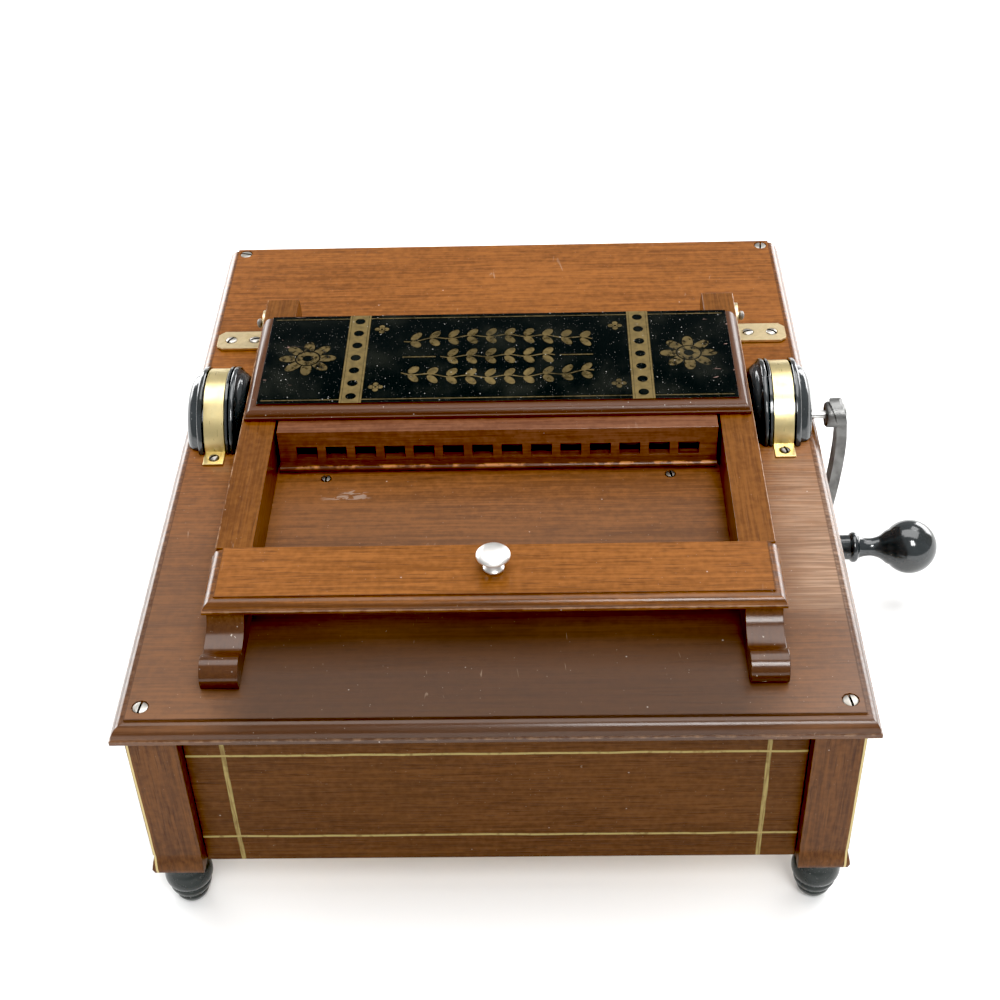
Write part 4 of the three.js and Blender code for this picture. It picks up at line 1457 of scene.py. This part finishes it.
@dataclass
class TopFrame:
    """The hinged frame: cheeks, name board, front board, pressure block and knob."""

    finishes: Finishes

    def knob_profile(self) -> list[Point]:
        """Radius and height of the pull knob: a flanged foot, a waist and a mushroom head."""
        foot = [(0, 0), (4.2, 0), (4.45, 0.3), (4.4, 1.0)]
        stem = [(3.7, 1.6), (2.8, 2.9), (2.75, 4.1), (3.6, 5.2), (5.4, 6.0), (6.7, 6.6)]
        waist = flowing(stem, 4)
        head = arc((0, 7.5), (7.3, 2.5), -18, 90, 14)
        return [*foot, *waist, *head[:-1], (0, 10.0)]

    def build(self) -> None:
        """Builds and dresses the frame."""
        for hand, _ in SIDES:
            cheek = Bench.eased(f"{hand}_cheek", 0.5, 2)
            mount(cheek, "top_frame", self.finishes.cheek)
        boards = (
            ("name_board", 0.25, 2, "name_board_lacquer", self.finishes.name),
            ("front_board", 0.25, 2, "frame_mahogany", self.finishes.front),
            ("pressure_block", 0.2, 1, "block_wood", self.finishes.block),
        )
        for node, ease, segments, slot, finish in boards:
            mount(Bench.eased(node, ease, segments), "top_frame", finish)
        middle = middle_of("pull_knob")
        middle.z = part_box("pull_knob")[0].z
        knob = Bench.turned("pull_knob_turned", self.knob_profile(), middle, Axis.Z, 1, 72)
        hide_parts("pull_knob")
        mount(knob, "top_frame", self.finishes.nickel)


@dataclass(frozen=True)
class Softbox:
    """A rectangular lamp, its place and size in metres and its power in watts.

    Glossy surfaces show it where it is mirrored, and other surfaces are lit by it where it lights.
    """

    name: str
    at: Point3
    size: Point
    power: float
    mirrored: bool = True
    lights: bool = True

    def hang(self, aim: Vector) -> None:
        """Hangs the lamp.

        Args:
            aim: The point that it faces.
        """
        data = bpy.data.lights.new(self.name, "AREA")
        data.shape = "RECTANGLE"
        data.size, data.size_y = self.size
        data.energy = self.power
        made = bpy.data.objects.new(self.name, data)
        bpy.context.scene.collection.objects.link(made)
        made.location = self.at
        made.rotation_euler = (aim - Vector(self.at)).to_track_quat("-Z", "Y").to_euler()
        made.visible_glossy = self.mirrored
        made.visible_diffuse = self.lights


@dataclass
class Studio:
    """The pale floor, the soft light and the camera."""

    SOFTBOXES: ClassVar[tuple[Softbox, ...]] = (
        Softbox("left_strip", (-1.75, 1.9, 0.55), (1.7, 1.1), 44),
        Softbox("right_strip", (1.75, 1.9, 0.55), (1.7, 1.1), 44),
        Softbox("rear_softbox", (0.9, 1.35, 2.0), (0.9, 0.9), 9),
        Softbox("overhead_softbox", (0.1, 0.36, 2.0), (2.3, 1.3), 30, lights=False),
        Softbox("window_pane", (0.145, -1.25, 1.85), (0.25, 0.8), 11),
        Softbox("window_pane", (0.445, -1.25, 1.85), (0.25, 0.8), 11),
        Softbox("front_softbox", (-0.3, -2.9, 1.5), (3.0, 2.0), 46, mirrored=False),
    )

    eye: Point3 = (-14.05, -621.0, 615.3)
    pitch: float = 40.194
    yaw: float = 1.976
    roll: float = -2.054
    lens: float = 59.65
    sensor: float = 36.0
    floor_size: float = 14.0
    sky: float = 0.42
    sun_power: float = 2.5
    sun_angle: float = 44.0
    sun_lean: Point3 = (-10.0, 5.0, 0.0)
    aim: Point3 = (0.0, 0.0, 0.08)
    black: float = 0.03

    def camera(self) -> None:
        """Sets the camera."""
        data = bpy.data.cameras.new("camera")
        data.lens = self.lens
        data.sensor_width = self.sensor
        data.clip_start, data.clip_end = 0.01, 50.0
        made = bpy.data.objects.new("camera", data)
        bpy.context.scene.collection.objects.link(made)
        turn = Matrix.Rotation(math.radians(self.yaw), 4, "Z")
        turn = turn @ Matrix.Rotation(math.radians(90 - self.pitch), 4, "X")
        turn = turn @ Matrix.Rotation(math.radians(self.roll), 4, "Z")
        made.matrix_world = Matrix.Translation(Vector(self.eye) * MM) @ turn
        bpy.context.scene.camera = made

    def floor(self) -> None:
        """Lays the pale floor."""
        Bench.clear()
        bpy.ops.mesh.primitive_plane_add(size=self.floor_size)
        floor = bpy.context.object
        floor.name = "floor"
        sheet = Sheet("pale_floor")
        tint = sheet.noise((1.5, 1.5, 1.5), 2).step(0.2, 0.8)
        colour = sheet.mix(Tone.FLOOR, Tone.PALE_FLOOR, tint)
        floor.data.materials.append(sheet.finish({"Base Color": colour, "Roughness": 0.9}))

    def light(self) -> None:
        """Lights the object from an even sky, a broad lamp overhead and the softboxes."""
        world = bpy.data.worlds.new("studio")
        bpy.context.scene.world = world
        world.use_nodes = True
        sky = world.node_tree.nodes["Background"]
        sky.inputs["Color"].default_value = (1.0, 1.0, 1.0, 1.0)
        sky.inputs["Strength"].default_value = self.sky
        sun = bpy.data.lights.new("overhead", "SUN")
        sun.energy = self.sun_power
        sun.angle = math.radians(self.sun_angle)
        lamp = bpy.data.objects.new("overhead", sun)
        lamp.rotation_euler = [math.radians(angle) for angle in self.sun_lean]
        lamp.visible_glossy = False
        bpy.context.scene.collection.objects.link(lamp)
        for softbox in self.SOFTBOXES:
            softbox.hang(Vector(self.aim))

    def build(self) -> None:
        """Sets the floor, the lights, the picture's tones and the camera."""
        self.floor()
        self.light()
        view = bpy.context.scene.view_settings
        view.view_transform = "Standard"
        view.look = "None"
        view.use_curve_mapping = True
        view.curve_mapping.black_level = (self.black,) * 3
        view.curve_mapping.update()
        self.camera()


def main() -> None:
    """Builds the object and its studio."""
    logging.basicConfig(level=logging.INFO, format="%(name)s: %(message)s")
    finishes = Finishes()
    for unit in (Case, Screws, Bearings, Works, Crank, TopFrame):
        unit(finishes).build()
    Studio().build()


if __name__ == "__main__":
    main()
